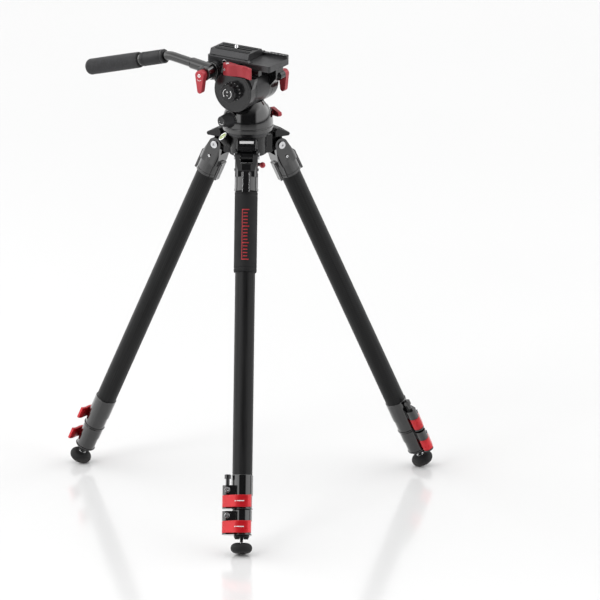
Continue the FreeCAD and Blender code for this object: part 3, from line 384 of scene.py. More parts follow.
def lathe(bm, profile, around=48, ripple=None, at=identity()):
    """Turns a profile of (radius, height) about Z; ripple(angle, height, radius) moves the radius."""
    rings = []
    for radius, height in profile:
        if radius < 1e-6:
            rings.append([bm.verts.new(at @ Vector((0, 0, height)))])
            continue
        ring = []
        for k in range(around):
            angle = 2 * math.pi * k / around
            r = radius + (ripple(angle, height, radius) if ripple else 0.0)
            ring.append(bm.verts.new(at @ Vector((r * math.cos(angle), r * math.sin(angle), height))))
        rings.append(ring)
    for low, high in zip(rings, rings[1:]):
        for k in range(around):
            j = (k + 1) % around
            corners = [low[k % len(low)], low[j % len(low)], high[j % len(high)], high[k % len(high)]]
            distinct = list(dict.fromkeys(corners))
            if len(distinct) > 2:
                bm.faces.new(distinct)
    return bm


def rounded(profile, size, steps=3):
    """The profile with each inner corner cut back and rounded by size."""
    out = [Vector(profile[0])]
    for before, here, after in zip(profile, profile[1:], profile[2:]):
        before, here, after = Vector(before), Vector(here), Vector(after)
        a, b = before - here, after - here
        cut = min(size, 0.45 * a.length, 0.45 * b.length)
        start, end = here + a.normalized() * cut, here + b.normalized() * cut
        for k in range(steps + 1):
            t = k / steps
            out.append((1 - t) ** 2 * start + 2 * t * (1 - t) * here + t * t * end)
    out.append(Vector(profile[-1]))
    return [(p.x, p.y) for p in out]


def slab(bm, outline, low, high, at=identity(), bevel=0.0):
    """A flat-topped block on an (x, y) outline, its upper rim rounded."""
    middle = sum((Vector(p) for p in outline), Vector((0, 0))) / len(outline)
    levels = [(low, 0.0), (high, 0.0)]
    if bevel:
        levels[1:] = [(high - bevel, 0.0), (high - 0.3 * bevel, 0.3 * bevel), (high, bevel)]
    rings = []
    for height, inset in levels:
        ring = []
        for p in outline:
            inward = (middle - Vector(p)).normalized() * inset
            ring.append(bm.verts.new(at @ Vector((p[0] + inward.x, p[1] + inward.y, height))))
        rings.append(ring)
    count = len(outline)
    for lower, upper in zip(rings, rings[1:]):
        for k in range(count):
            j = (k + 1) % count
            bm.faces.new((lower[k], lower[j], upper[j], upper[k]))
    bm.faces.new(rings[-1])
    bm.faces.new(list(reversed(rings[0])))
    return bm


def arc_outline(r_in, r_out, start, end, steps=12):
    """The outline of a piece of a ring, angles in degrees."""
    angles = [math.radians(start + (end - start) * k / steps) for k in range(steps + 1)]
    outer = [(r_out * math.cos(a), r_out * math.sin(a)) for a in angles]
    inner = [(r_in * math.cos(a), r_in * math.sin(a)) for a in reversed(angles)]
    return outer + inner


def wrapped(bm, outline_to, cells, thick):
    """A thin skin: each cell (u0, u1, v0, v1) is a curved patch through outline_to(u, v, height)."""
    for u0, u1, v0, v1 in cells:
        steps = max(1, round(abs(u1 - u0) / 0.08))
        rows = []
        for k in range(steps + 1):
            u = u0 + (u1 - u0) * k / steps
            section = ((v0, 0.0), (v0, thick), (v1, thick), (v1, 0.0))
            rows.append([bm.verts.new(outline_to(u, v, h)) for v, h in section])
        for a, b in zip(rows, rows[1:]):
            for i in range(3):
                bm.faces.new((a[i], b[i], b[i + 1], a[i + 1]))
        bm.faces.new(rows[0])
        bm.faces.new(list(reversed(rows[-1])))
    return bm


def on_cylinder(radius):
    """(angle in radians, height) on a cylinder about Z."""
    return lambda u, v, h: Vector(((radius + h) * math.cos(u), (radius + h) * math.sin(u), v))


def hexagon_at(angle, across):
    """Distance from the middle of a hexagon to its side, at an angle."""
    turn = (angle + math.pi / 6) % (math.pi / 3) - math.pi / 6
    return across / 2 / math.cos(turn)


def socket_head(bm, radius, height, across, depth, at=identity(), around=36, edge=0.5):
    """A screw head with a six-sided socket."""
    outer = rounded([(radius, 0.0), (radius, height), (0.62 * radius, height)], edge)
    rings = []
    for r, h in outer[:-1]:
        rings.append([at @ Vector((r * math.cos(t), r * math.sin(t), h)) for t in turns(around)])
    for h, grow in ((height, 0.25), (height - 0.25, 0.0), (height - depth, 0.0)):
        ring = []
        for t in turns(around):
            r = hexagon_at(t, across) + grow
            ring.append(at @ Vector((r * math.cos(t), r * math.sin(t), h)))
        rings.append(ring)
    rings = [[bm.verts.new(p) for p in ring] for ring in rings]
    for low, high in zip(rings, rings[1:]):
        for k in range(around):
            j = (k + 1) % around
            bm.faces.new((low[k], low[j], high[j], high[k]))
    bm.faces.new(rings[-1])
    return bm


def turns(count):
    """Angles of equal steps round a circle."""
    return [2 * math.pi * k / count for k in range(count)]


def dot(radius):
    """The outline of a small round dot."""
    return [(radius * math.cos(t), radius * math.sin(t)) for t in turns(12)]


def rectangle(x0, x1, y0, y1):
    """The outline of a rectangle."""
    return [(x0, y0), (x1, y0), (x1, y1), (x0, y1)]


def in_mm(at):
    """A frame placed in metres, for points in millimetres."""
    unit = Matrix.Scale(MM, 4)
    return unit.inverted() @ at @ unit


def words(bm, text, size, at, raise_by=0.08):
    """Adds characters, centred on the frame's origin, as thin raised shapes."""
    curve = bpy.data.curves.new("characters", "FONT")
    curve.body, curve.size, curve.extrude = text, size, raise_by / 2
    curve.align_x, curve.align_y = "CENTER", "CENTER"
    holder = bpy.data.objects.new("characters", curve)
    bpy.context.scene.collection.objects.link(holder)
    bpy.context.view_layer.update()
    mesh = bpy.data.meshes.new_from_object(holder)
    mesh.transform(at)
    bm.from_mesh(mesh)
    bpy.data.objects.remove(holder)
    bpy.data.meshes.remove(mesh)
    return bm


# ---------------------------------------------------------------- finishes of the CAD nodes
FINISH = {
    "hub_casting": cast_black, "top_plate": satin_black, "head_stud": bare_steel,
    "leg_pivot_bolts": bare_steel, "platform_lock_lever": knob_black,
    "head_base_plate": gloss_black, "pan_housing": gloss_black, "tilt_drum": drum_black,
    "tilt_axle": bare_steel, "near_cheek": cheek_black, "far_cheek": cheek_black,
    "camera_platform": satin_black, "platform_screws": black_screw, "slide_plate": satin_black,
    "slide_plate_pads": plain_rubber, "camera_screw": bare_steel, "plate_lock_lever": dusty_red,
    "counterbalance_knob": knob_black, "pan_drag_knob": knurl_black, "tilt_drag_knob": knurl_black,
    "pan_lock_lever": dusty_red, "tilt_lock_lever": dusty_red, "bar_clamp": gloss_black,
    "bar_wing_lever": dusty_red, "bar_tube": gloss_black, "bar_collar": knurl_black,
    "bar_extension": gloss_black, "bar_grip": foam_skin,
}
LEG_FINISH = {
    "yoke": gloss_black, "upper_clamp": gloss_black, "lower_clamp": gloss_black,
    "upper_lever": bright_red, "lower_lever": bright_red, "foot": foot_rubber,
    "sleeve": plain_rubber, "angle_stop": cast_black,
}
TUBES = (  # radius, and the height under which the weave ends at a plain end plug
    ("upper", 18 * MM, None), ("middle", 16 * MM, None), ("lower", 14 * MM, -688.5 * MM),
)


def dress(node, material):
    """Gives a CAD node its only material."""
    mesh = NODES[node].data
    mesh.materials.clear()
    mesh.materials.append(material)


for node, material in FINISH.items():
    dress(node, material)
for n in LEGS:
    at = leg_frame(n)
    for part, radius, bare_below in TUBES:
        dress(f"leg_{n}_{part}_tube", carbon(f"carbon_{part}_{n}", at, radius, bare_below).material)
    for part, material in LEG_FINISH.items():
        if f"leg_{n}_{part}" in NODES:
            dress(f"leg_{n}_{part}", material)
LEVEL_AZ, LEVEL_TILT = math.radians(-132), math.radians(40)
LEVEL_OUT, LEVEL_DROP = 46.5 * MM, 12 * MM
LEVEL = Matrix.Rotation(LEVEL_AZ, 4, "Z") @ Matrix.Translation((LEVEL_OUT, 0, SEAT - LEVEL_DROP))
LEVEL = LEVEL @ Matrix.Rotation(LEVEL_TILT, 4, "Y")
dress("hub_bubble_level", level_fluid("level_fluid", LEVEL).material)


# ---------------------------------------------------------------- head: knobs
def dial_ring(name, at, body, radius, low, high, count, share=0.5):
    """White squares printed all round a collar."""
    step = 2 * math.pi / count
    cells = [(k * step, k * step + share * step, low, high) for k in range(count)]
    return add_piece(name, wrapped(bmesh.new(), on_cylinder(radius), cells, 0.08), at, body, white_ink)


def ridges(count, depth, low, high, fade=1.2):
    """Grip ridges round a knob between two heights."""
    def ripple(angle, height, radius):
        """How far the surface sinks between two ridges."""
        rise = min(1.0, max(0.0, (height - low) / fade), max(0.0, (high - height) / fade))
        return -depth * rise * (0.5 - 0.5 * math.cos(count * angle)) ** 0.6
    return ripple


def taper(r0, z0, r1, z1, count):
    """Profile points on a straight run, both ends included."""
    return [(r0 + (r1 - r0) * k / count, z0 + (z1 - z0) * k / count) for k in range(count + 1)]


def pan_drag_knob():
    """The tapered knob on the bell: a ribbed grip, a scale ring behind it and a mark on its face."""
    at = axis_frame(joint_point("pan_drag_turn"), joint_axis("pan_drag_turn"))
    back, front = 13.4, 9.6
    profile = [(0, -18), (3.92, -18), (3.92, -6)]
    profile += rounded([(3.92, -6), (14.2, -6), (14.2, -2.2), (13.2, -2.2)], 0.5)
    profile += [(12.9, -1.9), (12.9, -1.4)] + taper(back, -1.2, front, 17.6, 16)
    end = [(front, 17.6), (front - 0.2, 19.0), (8.0, 19.0), (7.8, 18.3), (0, 18.3)]
    profile += rounded(end, 0.5) + [(0, 18.3)]
    bm = lathe(bmesh.new(), profile, 216, ridges(36, 0.55, -1.0, 17.8))
    grip = add_piece("pan_drag_grip", bm, at, "pan_drag", knurl_black)
    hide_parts("pan_drag_knob")
    dial_ring("pan_drag_scale", at, "pan_drag", 14.2, -5.3, -2.9, 22)
    mark = slab(bmesh.new(), arc_outline(5.2, 6.1, 125, 235), 18.3, 18.42)
    for angle in (math.radians(100), math.radians(260)):
        spot = Matrix.Translation((5.65 * math.cos(angle), 5.65 * math.sin(angle), 0))
        slab(mark, dot(0.5), 18.3, 18.42, spot)
    add_piece("pan_drag_mark", mark, at, "pan_drag", white_ink)


def tilt_drag_knob():
    """The wider ribbed knob on the far side, with its scale ring and face mark."""
    at = axis_frame(joint_point("tilt_drag_turn"), joint_axis("tilt_drag_turn"))
    profile = [(6.1, -7.6)] + rounded([(6.1, -7.6), (17.5, -7.6), (17.5, -4.2), (16.0, -4.2)], 0.5)
    profile += [(15.9, -3.9), (15.9, -3.4)] + taper(16.6, -3.2, 14.6, 6.6, 12)
    profile += rounded([(14.6, 6.6), (14.4, 8.0), (12.4, 8.0), (12.1, 7.3), (0, 7.3)], 0.5) + [(0, 7.3)]
    bm = lathe(bmesh.new(), profile, 264, ridges(44, 0.55, -3.0, 6.8))
    grip = add_piece("tilt_drag_grip", bm, at, "tilt_drag", knurl_black)
    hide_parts("tilt_drag_knob")
    dial_ring("tilt_drag_scale", at, "tilt_drag", 17.5, -6.9, -4.8, 26)
    mark = slab(bmesh.new(), arc_outline(8.4, 9.5, 130, 230), 7.3, 7.42)
    add_piece("tilt_drag_mark", mark, at, "tilt_drag", white_ink)


def counterbalance_marks():
    """Numbers and dots round the flared ring, and a plus, a minus and turning arrows on the cap."""
    hub = Vector((TILT.x, 0, TILT_Z)) + Vector((0, -55.2 * MM, 0))
    slope = math.radians(17.8)
    numbers, dots = bmesh.new(), bmesh.new()
    for k in range(8):
        for half in (0.0, 0.5):
            angle = math.radians(90 - 45 * (k + half))
            out = Vector((math.cos(angle), 0, math.sin(angle)))
            normal = out * math.cos(slope) + Vector((0, -1, 0)) * math.sin(slope)
            place = axis_frame(hub + out * 17.52 * MM, normal, Vector((0, 1, 0)))
            place = in_mm(place @ Matrix.Rotation(math.radians(90), 4, "Z"))
            if half:
                slab(dots, dot(0.55), -0.1, 0.07, place)
            else:
                words(numbers, str(k + 1), 4.4, place, 0.16)
    add_piece("counterbalance_numbers", numbers, identity(), "counterbalance", white_ink)
    add_piece("counterbalance_dots", dots, identity(), "counterbalance", white_ink)
    face = axis_frame(Vector((0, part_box("counterbalance_knob")[0].y, TILT_Z)), (0, -1, 0))
    sign = bmesh.new()
    low, high = -0.05, 0.1
    for start in (20, 200):
        slab(sign, arc_outline(8.2, 9.1, start, start + 100), low, high)
        tip = math.radians(start + 100)
        c, s = math.cos(tip), math.sin(tip)
        corners = ((-1.5, 0), (1.5, 0), (0, 2.6))
        head = [(8.65 * c + over * c - on * s, 8.65 * s + over * s + on * c) for over, on in corners]
        slab(sign, head, low, high)
    for x in (3.4, -3.4):
        slab(sign, rectangle(x - 0.45, x + 0.45, -2.0, 2.0), low, high)
    slab(sign, rectangle(1.4, 5.4, -0.45, 0.45), low, high)
    add_piece("counterbalance_signs", sign, face, "counterbalance", white_ink)


def cheek_marks():
    """Filled arcs, fine lines and ticks round the near disc, left out where it is cut away."""
    face = axis_frame(Vector((0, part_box("near_cheek")[0].y, TILT_Z)), (0, -1, 0))
    face = face @ Matrix.Rotation(math.radians(-90), 4, "Z")
    pocket = (50.0, 133.0)  # where the disc is cut away for the lever, in degrees
    fill, lines = bmesh.new(), bmesh.new()
    for k in range(8):
        start = 8 + 45 * k
        arcs = ((start + 26, start + 45, -0.78, 0.0, fill), (start, start + 26, -0.7, -0.4, lines))
        for a, b, low, high, target in arcs:
            if a < pocket[0]:
                b = min(b, pocket[0])
            elif b > pocket[1]:
                a = max(a, pocket[1])
            else:
                continue
            slab(target, arc_outline(34.75, 35.45, a, b, 10), low, high)
        if pocket[0] - 2 < start < pocket[1] + 2:
            continue
        edge = math.radians(start)
        reach = [(r * math.cos(edge) - w * math.sin(edge), r * math.sin(edge) + w * math.cos(edge))
                 for r, w in ((34.9, -0.35), (38.0, -0.35), (38.0, 0.35), (34.9, 0.35))]
        slab(lines, reach, -0.05, 0.06)
    add_piece("near_cheek_fill", fill, face, "tilt", cheek_black)
    add_piece("near_cheek_lines", lines, face, "tilt", gloss_black)


# ---------------------------------------------------------------- head: platform, plate and levers
# places on the platform, in millimetres, with heights above the seat
SCREW_TOPS = ((-53.0, -29.8, 136.5), (15.0, -29.8, 136.5), (-53.0, 29.8, 139.5), (48.0, 29.8, 139.5))
ACCESSORY = (-28, -34.6, 127.5)
PLATE_PIN = (-14, -45.9)
PAD_Y, PAD_HALF = 13.2, 5.6


def thread(bm, radius, low, high, pitch, at=identity(), around=40, depth=0.62):
    """A screw thread as one helical skin, with a closed end."""
    count = round((high - low) / (pitch / 8))
    rings = []
    for i in range(count + 1):
        z = low + (high - low) * i / count
        ring = []
        for t in turns(around):
            wave = abs(((z / pitch - t / (2 * math.pi)) % 1.0) * 2 - 1)
            end = min(1.0, max(0.0, (high - z) / 0.7))
            r = radius - depth * (1 - wave) - 0.5 * (1 - end)
            ring.append(bm.verts.new(at @ Vector((r * math.cos(t), r * math.sin(t), z))))
        rings.append(ring)
    for a, b in zip(rings, rings[1:]):
        for k in range(around):
            j = (k + 1) % around
            bm.faces.new((a[k], a[j], b[j], b[k]))
    bm.faces.new(rings[-1])
    bm.faces.new(list(reversed(rings[0])))
    return bm


def camera_screw():
    """The quarter inch screw with its thread cut, and its wide head."""
    at = axis_frame(joint_point("camera_screw_turn"), (0, 0, 1))
    head = [(0, -11.7), (6.6, -11.7), (6.6, -7.7), (2.5, -7.7), (2.5, 1.2), (0, 1.2)]
    bm = lathe(bmesh.new(), [head[0]] + rounded(head, 0.4), 48)
    thread(bm, 3.175, 0.9, 7.0, 1.27)
    screw = add_piece("camera_screw_threaded", bm, at, "camera_screw", chrome, 50)
    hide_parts("camera_screw")


def plate_pads():
    """The quick plate's two long pads, round at their ends, with a waffle in the rubber, its dips painted
    darker as painted shade.
    """
    low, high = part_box("slide_plate_pads")
    half = PAD_HALF
    bm = bmesh.new()
    for y in (-PAD_Y, PAD_Y):
        ends = [(high.x / MM - half, -90), (low.x / MM + half, 90)]
        outline = []
        for x, start in ends:
            for k in range(13):
                a = math.radians(start + 15 * k)
                outline.append((x + (half - 0.05) * math.cos(a), y + (half - 0.05) * math.sin(a)))
        slab(bm, outline, low.z / MM, high.z / MM, bevel=0.45)
    s = Shader("pad_rubber")
    x, y, _ = s.node("SeparateXYZ", {"Vector": s.place()}).outputs
    wave_x, wave_y = (s.math("SINE", s.math("MULTIPLY", way, 5200.0)) for way in (x, y))
    wave = s.math("MULTIPLY", wave_x, wave_y)
    cloud = s.noise(s.place(), 90.0, 4.0)
    # Painted shade: the dips of the waffle are painted darker and its rises lighter, over a random cloud
    # of tone.
    shade = s.math("ADD", s.math("MULTIPLY", wave, 0.22), cloud)
    s.set(Base_Color=s.ramp(shade, (0.3, (0.006, 0.006, 0.0065)), (0.75, (0.026, 0.026, 0.028))))
    s.set(Roughness=s.span(cloud, 0.6, 0.8, 0.3, 0.7))
    s.set(Specular_IOR_Level=0.3)
    s.relief((0.16 * MM, wave), edge=0.1 * MM)
    pads = add_piece("plate_rubber_pads", bm, identity(), "quick_plate", s.material, 50)
    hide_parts("slide_plate_pads")


def platform_details():
    """Socket screws, printed ticks, the accessory thread's ring, and the plate lever's cap and screw."""
    seat = Matrix.Translation((0, 0, SEAT))
    heads = bmesh.new()
    for x, y, z in SCREW_TOPS:
        socket_head(heads, 3.25, 3.6, 2.9, 2.4, Matrix.Translation((x, y, z - 3.4)), edge=0.3)
    screws = add_piece("platform_socket_screws", heads, seat, "tilt", black_screw)
    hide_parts("platform_screws")
    ticks = bmesh.new()
    for x in (31, 38, 45, 52, 59):
        slab(ticks, rectangle(x - 0.9, x + 0.9, 25.0, 26.3), 139.45, 139.6)
    add_piece("platform_ticks", ticks, seat, "tilt", white_ink)
    x, y, z = ACCESSORY
    mouth = axis_frame(Vector((x * MM, y * MM, SEAT + z * MM)), (0, -1, 0))
    ring = rounded([(3.3, -0.9), (3.3, 0.25), (4.9, 0.25), (4.9, -0.9)], 0.3)
    add_piece("accessory_thread_ring", lathe(bmesh.new(), ring, 40), mouth, "tilt", chrome)
    pin = Matrix.Translation((PLATE_PIN[0] * MM, PLATE_PIN[1] * MM, SEAT + 131 * MM))
    profile = [(0, -0.3), (2.8, -0.3), (2.8, 0.4), (3.7, 0.4), (3.7, 0.7), (3.2, 1.0)]
    profile += [(1.2, 1.15), (1.0, 0.85), (0, 0.85)]
    cap = lathe(bmesh.new(), profile, 32)
    add_piece("plate_lever_pin_cap", cap, pin, "tilt", chrome)
    out = Vector((-0.3, -0.954, 0))
    face = Vector((*PLATE_PIN, 120.9)) * MM + Vector((0, 0, SEAT)) + out * 8.0 * MM
    screw = socket_head(bmesh.new(), 2.3, 0.7, 1.8, 0.6, edge=0.2)
    add_piece("plate_lever_screw", screw, axis_frame(face, out), "plate_lock", chrome)


def wing_details():
    """A socket screw in the face of each wing lever, and a printed arc on two of them."""
    levers = (  # the way the face looks, how far out it is, and where its arc is
        ("bar_wing", -joint_axis("bar_wing_turn"), 7.4, -4.4),
        ("tilt_lock", Vector((0, 1, 0)), 6.5, -3.8),
        ("pan_lock", joint_axis("pan_lock_turn"), 5.0, None),
    )
    for body, out, reach, arc_at in levers:
        at = axis_frame(joint_point(body + "_turn") + out * reach * MM, out)
        screw = socket_head(bmesh.new(), 3.1, 0.5, 2.6, 0.45, Matrix.Translation((0, 0, -0.1)), edge=0.2)
        add_piece(body + "_screw", screw, at, body, chrome)
        if arc_at is not None:
            beside = Matrix.Translation((arc_at, 0, 0))
            arc = slab(bmesh.new(), arc_outline(4.6, 5.4, 125, 235), -0.02, 0.1, beside)
            add_piece(body + "_arc", arc, at, body, white_ink)


# ---------------------------------------------------------------- pan bar
BAR_RAISE = 8.0  # degrees above level, at rest


def bar_collar():
    """The twist collar, knurled in diamonds between two plain rims."""
    at = axis_frame(joint_point("bar_collar_turn"), joint_axis("bar_collar_turn"))
    rim = rounded([(8.6, -25), (12.2, -25), (13.0, -23.6), (13.0, -19)], 0.5)
    outside = [(8.6, -25)] + rim + [(12.5, -18.6), (12.5, -18)]
    outside += taper(13.0, -17.6, 13.0, 17.6, 44) + [(12.5, 18), (12.5, 18.6), (13.0, 19)]
    outside += rounded([(13.0, 19), (13.0, 23.8), (12.4, 25), (11.1, 25)], 0.5) + [(11.1, 22)]

    def diamonds(angle, height, radius):
        """How far the surface sinks between two crossing sets of ridges."""
        if abs(height) > 17.2 or radius < 12.9:
            return 0.0
        a, b = 44 * angle, height * 2 * math.pi / 1.75
        return -0.32 * (0.5 - 0.25 * (math.cos(a + b) + math.cos(a - b)))

    bm = lathe(bmesh.new(), outside, 220, diamonds)
    collar = add_piece("bar_collar_knurled", bm, at, "bar_collar", knurl_black, 60)
    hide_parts("bar_collar")


def bar_grip():
    """The foam sleeve: a little fuller in the middle, rolled in at its mouth and round at its end."""
    at = axis_frame(joint_point("bar_collar_turn"), joint_axis("bar_collar_turn"))
    profile = [(11.05, 33.0)]
    profile += rounded([(11.05, 31.0), (14.0, 31.0), (14.5, 35.0)], 1.6, 5)
    for k in range(1, 30):
        t = k / 30
        profile.append((14.5 + 0.16 * math.sin(math.pi * t), 35.0 + 102.0 * t))
    for k in range(11):
        a = math.radians(9 * k)
        profile.append((5.6 + 9.0 * math.cos(a), 137.6 + 9.2 * math.sin(a)))
    profile += [(2.8, 147.0), (0, 147.05)]

    def lumps(angle, height, radius):
        """The slight unevenness of the foam's outside."""
        if radius <= 8:
            return 0.0
        return 0.05 * math.sin(3 * angle + 0.21 * height) * math.sin(0.13 * height + 1.0)

    bm = lathe(bmesh.new(), profile, 72, lumps)
    grip = add_piece("bar_foam_grip", bm, at, "bar_extension", foam_skin, 60)
    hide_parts("bar_grip")


def bar_rings():
    """The turned ring where the bar leaves its socket."""
    rise = math.radians(BAR_RAISE)
    run = Vector((-math.cos(rise), 0, math.sin(rise)))
    line = joint_point("pan_bar_angle") + Vector((0, -10 * MM, 0))
    normal = Vector((math.sin(rise), 0, math.cos(rise)))
    at = axis_frame(line + normal * 7.0 * MM + run * 34.0 * MM, run)
    ring = [(8.6, -0.6)] + rounded([(8.6, -0.6), (9.9, -0.6), (9.9, 1.6), (8.55, 1.6)], 0.5)
    add_piece("bar_socket_ring", lathe(bmesh.new(), ring, 48), at, "pan_bar", knob_black)


# ---------------------------------------------------------------- hub and legs
def hub_details():
    """The level's ring, the ball of the lock lever and the sockets of the hinge bolts."""
    ring = rounded([(6.9, -1.0), (6.9, 1.0), (9.2, 1.0), (9.4, -1.0)], 0.5)
    add_piece("level_ring", lathe(bmesh.new(), ring, 56), LEVEL, "hub", chrome)
    ball = [(0, 5.4), (1.6, 5.2)]
    for angle in (math.radians(d) for d in range(25, 146, 10)):
        ball.append((5.45 * math.sin(angle), 5.45 * math.cos(angle)))
    ball += [(3.1, -4.6), (3.1, -6.0)]
    place = axis_frame(joint_point("platform_lock_turn") + Vector((31 * MM, 0, 0)), (1, 0, 0))
    bm = lathe(bmesh.new(), ball, 40)
    add_piece("lock_lever_ball", bm, place, "platform_lock", dusty_red)
    sockets = bmesh.new()
    for n in LEGS:
        arm = hub_arm_frame(n)
        for side in (-1, 1):
            out = arm.to_3x3() @ Vector((0, side, 0))
            head = axis_frame(arm @ Vector((0, side * 21.45 * MM, 0)), out)
            socket_head(sockets, 2.88, 1.45, 4.0, 1.3, in_mm(head), edge=0.1)
    add_piece("hinge_bolt_sockets", sockets, identity(), "hub", bare_steel)


def stop_labels():
    """The blank pale label in the window of each sprung tab."""
    lean = math.atan2(31.0 - 20.5, 20.5)
    for n in LEGS:
        at = hub_arm_frame(n) @ Matrix.Translation((9 * MM, 0, 25.4 * MM))
        at = at @ Matrix.Rotation(lean, 4, "Y")
        label = slab(bmesh.new(), rectangle(-8.1, -1.6, -12.8, 12.8), -1.42, -1.05, bevel=0.1)
        add_piece(f"stop_label_{n}", label, at, f"leg_{n}_angle_stop", label_stock)


def leg_details(n):
    """One leg's screws, chrome strips on the rib edges as painted highlights, lever marks and foot washer.
    """
    at, body = leg_frame(n), f"leg_{n}"

    def lock_bolt(bm, height):
        """The head of a lock casting's tension bolt."""
        place = axis_frame((19.2, -26.0, height), (1, 0, 0))
        return socket_head(bm, 4.75, 2.4, 3.8, 1.5, place, edge=0.4)

    screws = bmesh.new()
    for side in (-1, 1):
        head = axis_frame((0, side * 21.6, -25.0), (0, side, 0))
        socket_head(screws, 2.25, 0.8, 2.0, 0.7, head, edge=0.2)
    lock_bolt(screws, -607.5)
    add_piece(f"leg_{n}_upper_screws", screws, at, body, chrome)
    head = lock_bolt(bmesh.new(), -654.0)
    add_piece(f"leg_{n}_lower_screw", head, at, body + "_middle", chrome)
    # Painted highlights: thin chrome strips along the ribs' outer corners, standing in for the highlights
    # on those glossy edges.
    painted_highlight_strips = bmesh.new()
    for side in (-1, 1):
        for y in (-5.6, 5.6):
            strip = rectangle(side * 24.5 - 0.1, side * 24.5 + 0.12, y - 0.3, y + 0.3)
            slab(painted_highlight_strips, strip, -68.0, -32.5)
    add_piece(f"leg_{n}_rib_painted_highlights", painted_highlight_strips, at, body, chrome)
    for part, bottom in (("upper", 641.5), ("lower", 688.0)):
        middle = -(bottom - 13.6)

        def on_lever(u, v, h):
            """Along the lever's bowed outer face, and up it."""
            return Vector((27.8 + 0.03182 * u - 0.010909 * u * u + 0.1 + h, u, v))

        cells = [(-12.4, -10.4, middle - 1.0, middle + 1.0)]
        cells += [(-8.8 + 2.3 * k, -6.6 + 2.3 * k, middle - 0.8, middle + 0.8) for k in range(6)]
        mark = wrapped(bmesh.new(), on_lever, cells, 0.14)
        add_piece(f"leg_{n}_{part}_lever_mark", mark, at, f"{body}_{part}_lever", white_ink)
    washer = rounded([(2.95, -701.6), (6.2, -701.6), (6.2, -700.2), (2.95, -700.2)], 0.4)
    bm = lathe(bmesh.new(), washer, 40)
    add_piece(f"leg_{n}_foot_washer", bm, at, body + "_foot", chrome)


def sleeve():
    """The rubber sleeve of the front leg, with rolled rims and a red scale."""
    at = leg_frame(1)
    profile = [(18.05, -66.0)]
    profile += rounded([(18.05, -65.3), (19.6, -65.3), (20.7, -67.0), (20.7, -70.5)], 0.8)
    profile += [(20.3, -71.2), (20.3, -72.2), (20.65, -72.8)] + taper(20.65, -75.0, 20.65, -201.0, 20)
    profile += [(20.65, -203.6), (20.3, -204.3), (20.3, -205.2), (20.75, -206.0)]
    profile += rounded([(20.75, -206.0), (20.75, -210.0), (19.8, -211.9), (18.05, -211.9)], 0.9)
    bm = lathe(bmesh.new(), profile, 72)
    skin = add_piece("leg_1_rubber_sleeve", bm, at, "leg_1", plain_rubber)
    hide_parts("leg_1_sleeve")
    cells = []
    for k in range(16):
        z = -100.0 - 6.0 * k
        half = (6.6 if k % 5 == 0 else 3.9) / 20.65
        cells.append((-half, half, z - 0.9, z + 0.9))
    cells.append((-6.6 / 20.65, -5.4 / 20.65, -190.0, -100.0))
    add_piece("sleeve_scale", wrapped(bmesh.new(), on_cylinder(20.66), cells, 0.1), at, "leg_1", red_ink)


pan_drag_knob()
tilt_drag_knob()
counterbalance_marks()
cheek_marks()
camera_screw()
plate_pads()
platform_details()
wing_details()
bar_collar()
bar_grip()
bar_rings()
hub_details()
stop_labels()
for n in LEGS:
    leg_details(n)
sleeve()


# ---------------------------------------------------------------- camera, light and floor
AZIMUTH, ELEVATION = math.radians(31.8), math.radians(17.45)
DISTANCE = 40.0       # metres, so far that there is nearly no perspective
FRAME_WIDTH = 1.08    # metres across the picture
SENSOR = 36.0
AIM_RIGHT, AIM_DOWN = 0.0939, 0.3098  # from the seat of the head to the picture's middle
RIGHT = Vector((math.cos(AZIMUTH), math.sin(AZIMUTH), 0))
TOWARD = Vector((
    math.sin(AZIMUTH) * math.cos(ELEVATION), -math.cos(AZIMUTH) * math.cos(ELEVATION), math.sin(ELEVATION),
))
ROOM_LIGHT = 0.74


def camera():
    """A very long lens, far off."""
    up = TOWARD.cross(RIGHT)
    aim = Vector((0, 0, SEAT)) + AIM_RIGHT * RIGHT - AIM_DOWN * up
    lens = bpy.data.cameras.new("camera")
    lens.lens = SENSOR * DISTANCE / FRAME_WIDTH
    lens.clip_start, lens.clip_end = 1.0, 200.0
    holder = bpy.data.objects.new("camera", lens)
    holder.matrix_world = Matrix((RIGHT, up, TOWARD)).transposed().to_4x4()
    holder.location = aim + DISTANCE * TOWARD
    bpy.context.scene.collection.objects.link(holder)
    bpy.context.scene.camera = holder
    bpy.context.scene.view_settings.view_transform = "Standard"


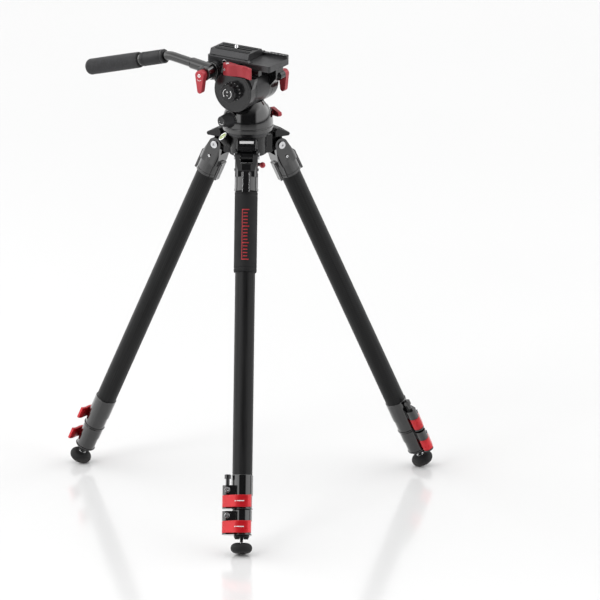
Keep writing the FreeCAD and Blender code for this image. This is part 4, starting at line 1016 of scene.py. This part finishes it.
def surroundings():
    """A bright roof, a glow behind the object and a white strip on each side."""
    world = bpy.data.worlds.new("studio")
    world.use_nodes = True
    room = Nodes(world.node_tree)
    way = room.node("TexCoord").outputs["Generated"]
    height = room.node("SeparateXYZ", {"Vector": way}).outputs[2]

    def along(direction):
        """How far the way that is looked in runs along a direction."""
        dot_product = room.node("VectorMath", {0: way, 1: direction}, operation="DOT_PRODUCT")
        return dot_product.outputs["Value"]

    ahead, beside = along((TOWARD.x, TOWARD.y, 0)), along(tuple(RIGHT))
    roof = room.span(height, 0.42, 1.7, 0.5, 0.78)
    roof = room.math("MULTIPLY", roof, room.span(ahead, 1.0, 0.22, 0.2, 0.65))
    back = room.math("ADD", roof, room.span(ahead, 0.55, 0.0, -0.75, -0.1))
    band_foot, band_top = room.span(height, 0.0, 1.0, 0.02, 0.12), room.span(height, 1.0, 0.0, 0.6, 0.75)
    band = room.math("MULTIPLY", band_foot, band_top)
    left = room.math("MULTIPLY", room.span(beside, 0.0, 2.9, -0.5, -0.6), band)
    right = room.math("MULTIPLY", room.span(beside, 0.0, 2.3, 0.56, 0.68), band)
    light = room.math("ADD", back, room.math("ADD", left, right))
    background = world.node_tree.nodes["Background"]
    background.inputs["Color"].default_value = (1, 1, 1, 1)
    room.feed(background.inputs["Strength"], room.math("MULTIPLY", light, ROOM_LIGHT))
    bpy.context.scene.world = world


def key_light():
    """One soft light, high on the camera's left."""
    middle = Vector((0, 0, 0.55))
    where = middle - 2.2 * RIGHT + 2.6 * TOWARD + Vector((0, 0, 2.2))
    light = bpy.data.lights.new("key", "AREA")
    light.shape, light.size, light.size_y, light.energy = "RECTANGLE", 1.2, 1.2, 34
    holder = bpy.data.objects.new("key", light)
    holder.matrix_world = axis_frame(where, where - middle, (0, 0, 1))
    bpy.context.scene.collection.objects.link(holder)


def floor():
    """A wide pale floor with a slight gloss."""
    finish = Shader("floor")
    cloud = finish.noise(finish.place(), 0.8, 2.0)
    finish.set(Base_Color=finish.ramp(cloud, (0.3, (0.79, 0.79, 0.79)), (0.7, (0.81, 0.81, 0.81))))
    finish.set(Roughness=finish.span(cloud, 0.11, 0.14), Specular_IOR_Level=1.0)
    bm = bmesh.new()
    bmesh.ops.create_grid(bm, x_segments=8, y_segments=8, size=30.0)
    mesh = bpy.data.meshes.new("floor")
    bm.to_mesh(mesh)
    bm.free()
    mesh.materials.append(finish.material)
    ground = bpy.data.objects.new("floor", mesh)
    bpy.context.scene.collection.objects.link(ground)


camera()
surroundings()
key_light()
floor()
